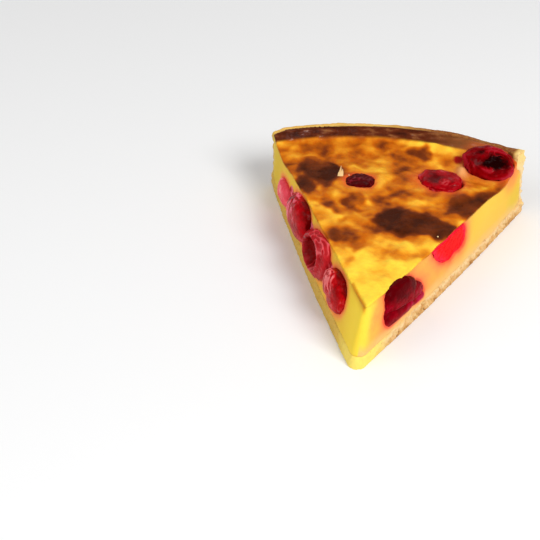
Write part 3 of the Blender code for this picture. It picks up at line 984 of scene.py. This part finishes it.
def stains(points, skin, fruits):
    """How much cherry juice has soaked into the custard at each point, the red fringe round each
    cherry, the deep red spots, and the pulp between cherries. skin is 1 on the baked skin, which
    the cherries of the cuts don't stain, and fruits gives points on each cherry's outline."""
    soaked = np.zeros(len(points))
    fringe = np.zeros(len(points))
    for name, outline in fruits.items():
        shape = CHERRIES[name]
        centre, _ = shape.place
        tree = kdtree.KDTree(len(outline))
        for number, place in enumerate(outline):
            tree.insert(place, number)
        tree.balance()
        reach = max(shape.size) + FARTHEST_STAIN
        near = np.flatnonzero(np.linalg.norm(points - centre, axis=1) < reach)
        away = np.array([tree.find(place)[2] for place in points[near]])
        away = np.maximum(0.0, away - shape.inset)
        stain = STAIN_REACH_RIGHT if centre[0] > 0.0 else STAIN_REACH_LEFT
        stained = 1.0 if name.startswith("cherry_top") else 1.0 - skin[near]
        soaked[near] = np.maximum(soaked[near], stained * np.exp(-((away / stain) ** 2)))
        red = stained * shape.fringe_strength * np.exp(-((away / shape.fringe) ** 2))
        fringe[near] = np.maximum(fringe[near], red)
    spots = np.zeros(len(points))
    for place, halves, strength in JUICE_SPOTS:
        off = (points / MM - np.array(place)) / np.array(halves)
        spots = np.maximum(spots, strength * np.exp(-((off**2).sum(axis=1))))
    pulp = np.zeros(len(points))
    for reach, height, half in PULP_SPOTS:
        place, _ = on_cut(LEFT, reach, height, 0.0)
        away = np.linalg.norm(points - place, axis=1)
        pulp = np.maximum(pulp, np.exp(-((away / half) ** 4)) * (1.0 - skin))
    return soaked, fringe, spots, pulp


def segment_distance(points, start, end):
    """Distance in plan of each point from a straight line between two places."""
    start, end = np.array(start), np.array(end)
    way = end - start
    share = np.clip(((points[:, :2] - start) @ way) / (way @ way), 0.0, 1.0)
    nearest = start + share[:, None] * way
    return np.hypot(*(points[:, :2] - nearest).T)


def round_rim(points):
    """Coordinates that follow the rim: along it, away from the axis, and up."""
    angle = np.arctan2(points[:, 0] - FLAN_AXIS[0], points[:, 1] - FLAN_AXIS[1])
    return np.stack((angle * RIM_RADIUS, from_axis(points), points[:, 2]), axis=1)


def model_custard(sizes):
    """The filling, cut round the cherries, with the relief of its skin and its stains."""
    across_steps, inner_steps, outer_steps, layers = 56, 60, 28, 12
    inner = [CLOSE_ROWS_FROM * i / inner_steps for i in range(inner_steps)]
    outer = [mix(CLOSE_ROWS_FROM, 1.0, i / outer_steps) for i in range(outer_steps + 1)]
    levels = inner + outer

    def place(column, row, layer):
        across = mix(LEFT, RIGHT, column / across_steps)
        share = layer / layers
        height = mix(BASE_THICKNESS, CUSTARD_HEIGHT, share)
        for _ in range(HEIGHT_PASSES):
            edge = inside_radius(across, height) + sizes.overlap
            x, y = plan(across, levels[row], height, edge)
            low = one_base_top(x, y) - sizes.overlap
            height = mix(low, one_custard_top(x, y, across), share)
        return x, y, height

    custard = gridded_block("custard_set", (across_steps, len(levels) - 1, layers), place)
    cutters = {name: cherry_body(name, cutter=True) for name in CHERRIES}
    fruits = {name: get_points(cutter) for name, cutter in cutters.items()}
    deselect()
    for cutter in cutters.values():
        cutter.select_set(True)
    bpy.ops.object.join()
    cutter = added("cutter")
    apply_modifier(custard, "BOOLEAN", operation="DIFFERENCE", solver="EXACT", object=cutter)
    bpy.data.objects.remove(cutter)
    remesh(custard, sizes.custard_grain)

    points = get_points(custard)
    across, reach, cut_depth = across_of(points)
    top = custard_top(points, across)
    skin = 1.0 - smooth((top - points[:, 2] - SKIN_REACH) / SKIN_FADE)
    skin *= smooth(get_normals(custard)[:, 2] / SKIN_SLOPE)
    radius = from_axis(points)
    band = smooth((radius - sizes.band_radius) / BAND_EDGE)
    puffs = swells(points * (1.0, 1.0, 0.0), PUFFS)
    lump = np.exp(
        -(((points[:, 0] - LUMP_PLACE[0]) / LUMP_SIZE[0]) ** 2)
        - ((points[:, 1] - LUMP_PLACE[1]) / LUMP_SIZE[1]) ** 2
    )
    tip_crease = np.exp(-((segment_distance(points, *TIP_CREASE) / TIP_CREASE_WIDTH) ** 2))
    rise = sizes.skin_swell * puffs * (1.0 - band) - sizes.skin_fold * tip_crease
    rise += sizes.band_fold * swells(round_rim(points), BAND_RIPPLES) * band + LUMP_HEIGHT * lump
    points[:, 2] += np.maximum(rise, -DEEPEST_DIP) * skin
    knife = swells(points, KNIFE_MARKS) * (1.0 - skin)
    outward = get_normals(custard) * (1.0, 1.0, 0.0)
    on_face = (1.0 - smooth((cut_depth - FACE_DEPTH) / FACE_DEPTH))[:, None]
    pores = creases(points, 0.0042, 63.0, 0.10) * smooth(waves(points, 0.0055, 64.0) * 3.0 - 0.6)
    points += outward * on_face * (sizes.knife_mark * (knife - 1.4 * pores))[:, None]
    set_points(custard, points)

    soaked, fringe, juice, pulp = stains(points, skin, fruits)
    mark(
        custard,
        skin=skin,
        band=band,
        browned=browning_and_puff_shade(points),
        lump=lump,
        crease=tip_crease,
        soaked=soaked,
        fringe=fringe,
        juice=juice,
        pulp=pulp,
        warm=smooth((0.082 - reach) / 0.016) * smooth((reach - 0.003) / 0.006) * smooth(across / 0.2),
        level=points[:, 2] / CUSTARD_HEIGHT,
        side=across,
        rimward=smooth((radius - 0.098) / 0.013),
        near_tip=1.0 - smooth((reach - 0.006) / 0.020),
    )
    return custard


def custard_material(colours):
    finish = Finish("custard", subsurface=0.08, subsurface_scale=0.003, specular=0.04)
    skin = finish.marked("skin")
    band = finish.marked("band")
    level = finish.marked("level")
    side = finish.marked("side")
    fine = finish.grain(0.0022, detail=4.0, roughness=0.6)
    coarse = finish.grain(0.009, detail=3.0, seed=3.0)
    blotch = finish.grain(0.006, detail=3.0, seed=5.0)
    # The skin's baking, with the painted light and shade of its puffs
    browned = finish.marked("browned") + (fine - 0.5) * 0.16 + (coarse - 0.5) * 0.10
    top = finish.ramp(
        browned,
        (0.06, colours.skin_pale),
        (0.26, colours.skin_gold),
        (0.40, colours.skin_amber),
        (0.56, colours.skin_orange),
        (0.74, colours.skin_brown),
        (0.96, colours.skin_dark),
    )
    band_grain = finish.grain(0.0030, detail=4.0, seed=7.0, stretch=(2.2, 1.0, 0.6))
    band_colour = finish.ramp(
        band_grain, (0.30, colours.band_dark), (0.55, colours.band_brown), (0.78, colours.band_light)
    )
    band_colour = finish.blend(finish.step(side, 0.15, 0.6) * 0.55, band_colour, colours.band_light)
    right = finish.step(side, -0.2, 0.2)
    low = 1.0 - finish.step(level + (coarse - 0.5) * 0.16, 0.21, 0.42)
    soak = (finish.marked("soaked") * (0.45 + blotch * 0.9)).held()
    cut = finish.layers(
        colours.cut_low,
        (finish.step(level, 0.16, 0.80), colours.cut_high),
        (finish.grain(0.012, detail=3.0, seed=9.0) * 0.6, colours.cut_gold),
        # Painted shade: the left cut, away from the key light, is coloured darker and greener
        ((1.0 - right) * 0.6, colours.cut_left_shade),
        (finish.marked("rimward") * 0.6, colours.cut_rim),
        (finish.marked("near_tip") * 0.8, colours.skin_pale),
        (finish.marked("warm") * (0.25 + blotch), colours.cut_warm),
        (soak, colours.soaked),
        (low * right * 0.9, colours.cut_cream),
    )
    pulp = finish.marked("pulp") + (fine - 0.5) * 0.7 + (blotch - 0.5) * 0.4
    pulp_colour = finish.blend(finish.step(fine, 0.42, 0.62), colours.pulp_deep, colours.pulp_pale)
    juice = finish.marked("juice") + (fine - 0.5) * 0.5
    colour = finish.layers(
        cut,
        (skin, finish.blend(band, top, band_colour)),
        (soak * skin * 0.6, colours.soaked_skin),
        (finish.marked("lump"), colours.lump),
        (finish.marked("fringe") * (0.15 + blotch), colours.fringe),
        (finish.step(pulp, 0.30, 0.65), pulp_colour),
        (finish.step(juice, 0.35, 0.75), colours.juice),
        (finish.marked("crease") * 0.8, colours.skin_orange),
    )
    puckers = finish.grain(0.0048, detail=3.0, roughness=0.55, seed=2.0)
    normal = finish.bump((puckers * 0.65 + fine * 0.35) * skin, 0.0009)
    roughness = 0.5 - skin * 0.08 - band * 0.14
    wet = band * finish.step(band_grain, 0.50, 0.62) * 0.35
    return finish.done(colour, roughness=roughness, normal=normal, coat=wet)


def model_pastry(sizes):
    """The shell of shortcrust: a base and an upright wall, crumbly where the knife went and calmer
    at the tip and on the left."""
    across_steps, base_rows, wall_splits, layers = 40, 64, 4, 3
    wall_rows = wall_splits * (len(OUTER_PROFILE) - 1)

    def place(column, row, layer):
        across = mix(LEFT, RIGHT, column / across_steps)
        wall_row = max(0, row - base_rows) / wall_splits
        outer_radius, outer_height = profile_point(OUTER_PROFILE, wall_row)
        inner_radius, inner_height = profile_point(INNER_PROFILE, wall_row)
        along = min(row, base_rows) / base_rows
        outer_height = max(0.0, outer_height)
        under = plan(across, along, outer_height, outer_radius)
        inner_radius -= corner_lump(across, inner_height)
        over = plan(across, along, inner_height, inner_radius)
        if wall_row <= 2:
            inner_height += one_base_top(*over) - BASE_THICKNESS
        round_way = math.atan2(under[0], under[1] - FLAN_AXIS[1]) * RIM_RADIUS
        lip = smooth((outer_height / WALL_HEIGHT - 0.6) / 0.4)
        ripple = LIP_WAVE * wave(round_way, 0.0, 0.0, LIP_WAVE_LENGTH, 8.2)
        raised = lip * (ripple + lip_level(across))
        low = np.array((*under, outer_height + raised))
        high = np.array((*over, inner_height + raised))
        point = mix(low, high, layer / layers)
        if wall_row > 0 and layer == 0:
            outward = (under - FLAN_AXIS) / np.hypot(*(under - FLAN_AXIS))
            swell = WALL_WAVE * wave(round_way, point[2], 0.0, WALL_WAVE_LENGTH, 4.4)
            point[:2] += outward * swell
        return point

    pastry = gridded_block("pastry_baked", (across_steps, base_rows + wall_rows, layers), place)
    remesh(pastry, sizes.pastry_grain)

    points = get_points(pastry)
    normals = get_normals(pastry)
    across, reach, cut_depth = across_of(points)
    near_tip = 1.0 - smooth((reach - 0.010) / 0.016)
    cut = np.maximum(1.0 - smooth((cut_depth - 0.0004) / 0.0012), near_tip)
    lip = smooth((points[:, 2] - 0.021) / 0.006)
    crumb = swells(points, CRUMB)
    pits = creases(points, 0.0030, 73.0, 0.16) * smooth(waves(points, 0.0042, 74.0) * 2.5)
    calm = 1.0 - np.maximum(0.65 * near_tip, 0.40 * (1.0 - smooth((across + 0.3) / 0.6)))
    rough = cut * (crumb - 0.7 * pits - 0.1) * calm * sizes.crumb_depth
    rough += (1.0 - cut) * swells(points, BAKED_BUMPS) * (0.5 + 0.7 * lip) * sizes.wall_relief
    above = smooth(points[:, 2] / 0.0008)
    points += normals * (rough * above)[:, None]
    points[:, 2] = np.maximum(points[:, 2], 0.0)
    set_points(pastry, points)
    level = points[:, 2] / WALL_HEIGHT
    mark(pastry, cut=cut, lip=lip, pits=pits, crumb=crumb, level=level, side=across, near_tip=near_tip)
    return pastry


def pastry_material(colours):
    finish = Finish("pastry", specular=0.25, subsurface=0.05, subsurface_scale=0.002)
    fine = finish.grain(0.0013, detail=4.0, roughness=0.65)
    coarse = finish.grain(0.0068, detail=3.0, seed=4.0)
    level = finish.marked("level")
    side = finish.marked("side")
    lip = finish.marked("lip")
    right = finish.step(side, -0.3, 0.3)
    cut_value = finish.marked("crumb") * 0.25 + (fine - 0.5) * 0.6 + (coarse - 0.5) * 0.25 + 0.30
    cut = finish.ramp(
        cut_value + level * 2.2 - finish.marked("pits") * 0.25,
        (0.12, colours.crumb_brown),
        (0.38, colours.crumb_gold),
        (0.66, colours.crumb_pale),
    )
    wall = finish.ramp(
        level * 0.25 + (coarse - 0.5) * 0.7 + (fine - 0.5) * 0.4 + 0.35,
        (0.10, colours.wall_brown),
        (0.42, colours.wall_gold),
        (0.75, colours.wall_pale),
    )
    seam = finish.step(level + (coarse - 0.5) * 0.10, 0.13, 0.18) * (1.0 - finish.step(level, 0.22, 0.3))
    cut = finish.layers(
        cut,
        (seam * 0.9, colours.cut_cream),
        # Painted shade: the left cut's pastry is coloured darker and greener, away from the key light
        (1.0 - right, finish.blend(fine * 0.5, colours.crust_left_shade, colours.crumb_gold)),
        (finish.marked("near_tip"), colours.crust_tip),
    )
    burnt = lip * finish.step(side, -0.2, 0.35) * (1.0 - finish.step(side, 0.93, 0.97))
    speck = finish.step(finish.grain(0.0011, detail=1.0, seed=6.0), 0.66, 0.74)
    colour = finish.layers(
        wall,
        (finish.marked("cut"), cut),
        (burnt * (0.4 + fine), colours.lip_brown),
        (lip * finish.step(side, 0.945, 0.98) * (0.7 + fine * 0.4), colours.corner),
        (speck * right * 0.4, colours.crumb_brown),
    )
    relief = fine * 0.7 + finish.grain(0.0006, detail=2.0, seed=8.0) * 0.3
    return finish.done(colour, roughness=0.72 + fine * 0.2, normal=finish.bump(relief, 0.00035))


def cherry_body(name, cutter=False):
    """A ball pulled into the cherry's shape, or into the outline that cuts its place."""
    shape = CHERRIES[name]
    subdivisions = CUTTER_SUBDIVISIONS if cutter else shape.subdivisions
    item = ball(name + ("_cutter" if cutter else "_fruit"), subdivisions, 1.0)
    rays = get_points(item)
    rays /= np.linalg.norm(rays, axis=1)[:, None]
    points, hollow, pale_folds_and_highlights = cherry_surface(shape, rays, cutter)
    set_points(item, points)
    _, turn = shape.place
    if np.linalg.det(turn) < 0.0:
        item.data.flip_normals()
    if not cutter:
        # The fold marks hold pale flesh and painted highlights, and the hollow marks painted shade
        mark(item, hollow=hollow, fold=pale_folds_and_highlights)
    return item


def cherry_material(name):
    """Wet cooked fruit: painted shade darkens its dents, creases, stone hollow and shaded side, and
    its ridges are paler, partly as painted highlights.
    """
    shape = CHERRIES[name]
    skin, deep, pale = shape.colours
    finish = Finish(name, specular=shape.shine, coat_roughness=0.12)
    fine = finish.grain(0.0016, detail=3.0, roughness=0.6)
    coarse = finish.grain(0.0042, detail=2.0, seed=3.0)
    hollow = finish.marked("hollow")
    # The hollow marks darken the fruit with painted shade, and the fold marks paint pale flesh and highlights
    value = 0.38 + (coarse - 0.5) * 0.8 + (fine - 0.5) * 0.25 - hollow * 0.6 + finish.marked("fold") * 0.6
    colour = finish.ramp(value, (0.06, deep), (0.48, skin), (1.0, pale))
    relief = fine * 0.7 + finish.grain(0.0007, detail=2.0, seed=5.0) * 0.3
    normal = finish.bump(relief, 0.00014)
    wet = finish.step(finish.grain(0.0024, detail=2.0, seed=8.0), 0.54, 0.64) * shape.wetness
    wet = wet * (1.0 - hollow.held())
    return finish.done(colour, roughness=0.22 + fine * 0.12, normal=normal, coat=wet)


# The pale almond flake that stands in the skin, and two crumbs on it
FLAKE_PLACE = (-0.0210, 0.0255)
FLAKE_SIZE = (0.0024, 0.0006, 0.0052)
FLAKE_LEAN = 0.18
FLAKE_BEND = 0.0006
FLAKE_SUNK = 0.0006
CRUMB_PLACES = ((0.0215, -0.0090), (-0.0175, 0.0262))
CRUMB_SIZE = 0.0003


def model_flake():
    """A thin flake whose upper edge has two peaks."""
    steps = (14, 2, 10)
    foot_x, foot_y = FLAKE_PLACE
    foot = one_custard_top(foot_x, foot_y, -0.3) - FLAKE_SUNK

    def place(column, row, layer):
        side = column / steps[0] - 0.5
        peak = max(1.0 - 2.4 * abs(side + 0.12), 0.70 - 2.2 * abs(side - 0.30), 0.30)
        up = layer / steps[2] * peak
        x = side * FLAKE_SIZE[0] * (1.0 - 0.35 * up)
        bend = FLAKE_BEND * math.sin(3.0 * up)
        thick = FLAKE_SIZE[1] * (1.0 - 0.5 * up) * (1.0 - 1.4 * side**2)
        y = (row / steps[1] - 0.5) * thick + bend + FLAKE_LEAN * FLAKE_SIZE[2] * up
        return foot_x + x + 0.0003 * up, foot_y + y, foot + FLAKE_SIZE[2] * up

    flake = gridded_block("almond_flake", steps, place)
    apply_modifier(flake, "SUBSURF", levels=2, render_levels=2)
    return flake


def model_crumb(number, x, y):
    item = ball(f"crumb_{number}", 4, CRUMB_SIZE)
    points = get_points(item)
    points *= (1.0 + 0.35 * waves(points, 1.3 * CRUMB_SIZE, 5.0 + number))[:, None]
    set_points(item, points + np.array((x, y, one_custard_top(x, y, 0.3) + 0.6 * CRUMB_SIZE)))
    return item


def flake_material(colours):
    finish = Finish("almond", specular=0.3)
    fine = finish.grain(0.0007, detail=3.0)
    colour = finish.blend(fine, colours.almond_pale, colours.almond_gold)
    return finish.done(colour, roughness=0.6 + fine * 0.1, normal=finish.bump(fine, 0.0001))


# The stage

CAMERA_PLACE = (0.03118, -0.4111, 0.31061)
CAMERA_TURN = (math.radians(52.683), 0.0, math.radians(10.55))
CAMERA_LENS = 85.455
FLOOR_SIZE = 3.0
FLOOR_HEIGHT = -0.00002
# Each light: its place, the side of its square, and its power in watts
LIGHTS = {
    "window": ((0.60, -0.45, 0.75), 0.5, 8.8),
    "fill_light": ((-0.60, -0.50, 0.60), 0.8, 3.4),
    "back_light": ((-0.15, 0.75, 0.60), 0.8, 1.0),
}
SKY_STRENGTH = 0.30
LIGHT_TARGET = Vector((0.0, 0.0, 0.015))


def set_stage(colours):
    deselect()
    bpy.ops.mesh.primitive_plane_add(size=FLOOR_SIZE, location=(0.0, 0.0, FLOOR_HEIGHT))
    floor = added("floor")
    finish = Finish("floor", specular=0.1)
    floor.data.materials.append(finish.done((*linear(colours.floor), 1.0), roughness=0.9))
    for name, (place, side, power) in LIGHTS.items():
        bpy.ops.object.light_add(type="AREA", location=place)
        light = added(name)
        light.data.shape = "SQUARE"
        light.data.size = side
        light.data.energy = power
        light.rotation_euler = (LIGHT_TARGET - Vector(place)).to_track_quat("-Z", "Y").to_euler()
    scene = bpy.context.scene
    scene.world = bpy.data.worlds.new("studio")
    scene.world.use_nodes = True
    background = scene.world.node_tree.nodes["Background"]
    background.inputs["Color"].default_value = (1.0, 1.0, 1.0, 1.0)
    background.inputs["Strength"].default_value = SKY_STRENGTH
    bpy.ops.object.camera_add(location=CAMERA_PLACE, rotation=CAMERA_TURN)
    camera = added("camera")
    camera.data.lens = CAMERA_LENS
    camera.data.clip_start = 0.01
    scene.camera = camera
    scene.view_settings.view_transform = "Standard"


def length_property(name, description, default):
    return bpy.props.FloatProperty(
        name=name, description=description, default=default, precision=5, unit="LENGTH"
    )


def colour_property(name, description, default):
    return bpy.props.FloatVectorProperty(
        name=name,
        description=description,
        default=[value / 255.0 for value in default],
        size=3,
        min=0.0,
        max=1.0,
        subtype="COLOR_GAMMA",
    )


class FlanSizes(bpy.types.PropertyGroup):
    """Sizes of the slice's fine surface."""

    custard_grain: length_property("Custard grain", "Width of the custard mesh's faces", 0.00056)
    pastry_grain: length_property("Pastry grain", "Width of the pastry mesh's faces", 0.00050)
    overlap: length_property("Overlap", "How far the custard reaches into the pastry", 0.00015)
    skin_swell: length_property("Skin swell", "Height of the baked skin's soft bumps", 0.00085)
    skin_fold: length_property("Skin fold", "Depth of the baked skin's creases", 0.00045)
    band_fold: length_property("Band fold", "Height of the dark band's ripples", 0.00040)
    band_radius: length_property("Band radius", "Where the dark band starts", 0.1141)
    knife_mark: length_property("Knife mark", "Depth of the marks on the cut custard", 0.00009)
    crumb_depth: length_property("Crumb depth", "Relief of the cut pastry", 0.0014)
    wall_relief: length_property("Wall relief", "Relief of the baked pastry", 0.00045)


class FlanColours(bpy.types.PropertyGroup):
    """Colours of the slice, as a screen shows them."""

    skin_pale: colour_property("Pale skin", "Least baked skin, at the tip", (255, 222, 68))
    skin_gold: colour_property("Golden skin", "Lightly baked skin", (252, 186, 52))
    skin_amber: colour_property("Amber skin", "Baked skin", (228, 140, 28))
    skin_orange: colour_property("Orange skin", "Well baked skin", (196, 98, 10))
    skin_brown: colour_property("Brown skin", "Browned skin", (122, 52, 14))
    skin_dark: colour_property("Dark skin", "Darkest patches", (66, 24, 6))
    band_dark: colour_property("Dark band", "Dark skin along the rim", (58, 22, 12))
    band_brown: colour_property("Brown band", "Brown skin along the rim", (96, 40, 18))
    band_light: colour_property("Light band", "Paler streaks along the rim", (158, 100, 52))
    cut_high: colour_property("Cut custard", "Cut custard near the top", (246, 200, 78))
    cut_low: colour_property("Low custard", "Cut custard near the base", (240, 190, 92))
    cut_gold: colour_property("Golden custard", "Deeper patches of the cut", (250, 184, 60))
    # Painted shade of the left cut's custard, which faces away from the key light
    cut_left_shade: colour_property("Left custard", "Custard of the left cut", (232, 192, 52))
    cut_rim: colour_property("Rim custard", "Cut custard near the rim", (216, 188, 52))
    # Painted shade of the left cut's pastry, which faces away from the key light
    crust_left_shade: colour_property("Left crust", "Pastry of the left cut", (220, 184, 76))
    crust_tip: colour_property("Tip crust", "Pastry at the tip", (250, 222, 104))
    corner: colour_property("Corner", "Thick end of the rim at the right", (244, 208, 130))
    cut_warm: colour_property("Warm custard", "Custard between the cherries of the right cut", (244, 158, 78))
    cut_cream: colour_property("Cream custard", "Custard just over the base", (236, 190, 116))
    fringe: colour_property("Fringe", "Red edge round the cherries", (232, 52, 56))
    pulp_deep: colour_property("Deep pulp", "Torn fruit between cherries", (170, 16, 34))
    pulp_pale: colour_property("Pale pulp", "Ridges of the torn fruit", (236, 112, 126))
    soaked: colour_property("Soaked custard", "Cut custard with cherry juice", (250, 138, 76))
    soaked_skin: colour_property("Soaked skin", "Skin with cherry juice", (214, 92, 40))
    lump: colour_property("Lump", "Custard that bulges between cherries", (240, 170, 104))
    juice: colour_property("Juice", "Cherry juice in the custard", (178, 18, 18))
    crumb_pale: colour_property("Pale crumb", "Cut pastry", (238, 206, 152))
    crumb_gold: colour_property("Golden crumb", "Cut pastry in its hollows", (214, 166, 100))
    crumb_brown: colour_property("Brown crumb", "Baked bits of the pastry", (166, 112, 56))
    wall_pale: colour_property("Pale wall", "Least baked pastry outside", (234, 192, 104))
    wall_gold: colour_property("Golden wall", "Baked pastry outside", (214, 162, 74))
    wall_brown: colour_property("Brown wall", "Browned pastry outside", (176, 116, 50))
    lip_brown: colour_property("Brown lip", "Browned edge of the rim", (132, 66, 24))
    almond_pale: colour_property("Pale almond", "The flake's face", (250, 226, 176))
    almond_gold: colour_property("Golden almond", "The flake's toasted parts", (236, 190, 110))
    floor: colour_property("Floor", "The stage's floor", (246, 246, 246))


class FLAN_OT_stage(bpy.types.Operator):
    """Set up the floor, the lights and the camera"""

    bl_idname = "flan.stage"
    bl_label = "Stage"

    def execute(self, context):
        set_stage(context.scene.flan_colours)
        return {"FINISHED"}


class FLAN_OT_pastry(bpy.types.Operator):
    """Model the shell of shortcrust"""

    bl_idname = "flan.pastry"
    bl_label = "Pastry"

    def execute(self, context):
        pastry = model_pastry(context.scene.flan_sizes)
        finish_piece(pastry, pastry_material(context.scene.flan_colours), "pastry", "pastry_shell")
        return {"FINISHED"}


class FLAN_OT_custard(bpy.types.Operator):
    """Model the custard with its browned skin"""

    bl_idname = "flan.custard"
    bl_label = "Custard"

    def execute(self, context):
        custard = model_custard(context.scene.flan_sizes)
        finish_piece(custard, custard_material(context.scene.flan_colours), "custard", "custard")
        return {"FINISHED"}


class FLAN_OT_cherries(bpy.types.Operator):
    """Model every cherry in its place"""

    bl_idname = "flan.cherries"
    bl_label = "Cherries"

    def execute(self, context):
        for name, shape in CHERRIES.items():
            finish_piece(cherry_body(name), cherry_material(name), shape.slot, name)
        return {"FINISHED"}


class FLAN_OT_crumbs(bpy.types.Operator):
    """Model the almond flake and the crumbs on the skin"""

    bl_idname = "flan.crumbs"
    bl_label = "Flake and crumbs"

    def execute(self, context):
        material = flake_material(context.scene.flan_colours)
        finish_piece(model_flake(), material, "pastry")
        for number, (x, y) in enumerate(CRUMB_PLACES):
            finish_piece(model_crumb(number, x, y), material, "pastry")
        return {"FINISHED"}


OPERATORS = (FLAN_OT_stage, FLAN_OT_pastry, FLAN_OT_custard, FLAN_OT_cherries, FLAN_OT_crumbs)


class FLAN_PT_panel(bpy.types.Panel):
    """The slice's sizes, colours and steps"""

    bl_idname = "FLAN_PT_panel"
    bl_label = "Cherry Flan Slice"
    bl_space_type = "VIEW_3D"
    bl_region_type = "UI"
    bl_category = "Flan"

    def draw(self, context):
        for group in (context.scene.flan_sizes, context.scene.flan_colours):
            box = self.layout.box()
            for name in group.bl_rna.properties.keys():
                if name not in ("rna_type", "name"):
                    box.prop(group, name)
        for operator in OPERATORS:
            self.layout.operator(operator.bl_idname)


CLASSES = (FlanSizes, FlanColours, *OPERATORS, FLAN_PT_panel)


def register():
    for item in CLASSES:
        bpy.utils.register_class(item)
    bpy.types.Scene.flan_sizes = bpy.props.PointerProperty(type=FlanSizes)
    bpy.types.Scene.flan_colours = bpy.props.PointerProperty(type=FlanColours)


def unregister():
    del bpy.types.Scene.flan_sizes
    del bpy.types.Scene.flan_colours
    for item in reversed(CLASSES):
        bpy.utils.unregister_class(item)


def main():
    register()
    bpy.ops.flan.stage()
    bpy.ops.flan.pastry()
    bpy.ops.flan.custard()
    bpy.ops.flan.cherries()
    bpy.ops.flan.crumbs()


if __name__ == "__main__":
    main()
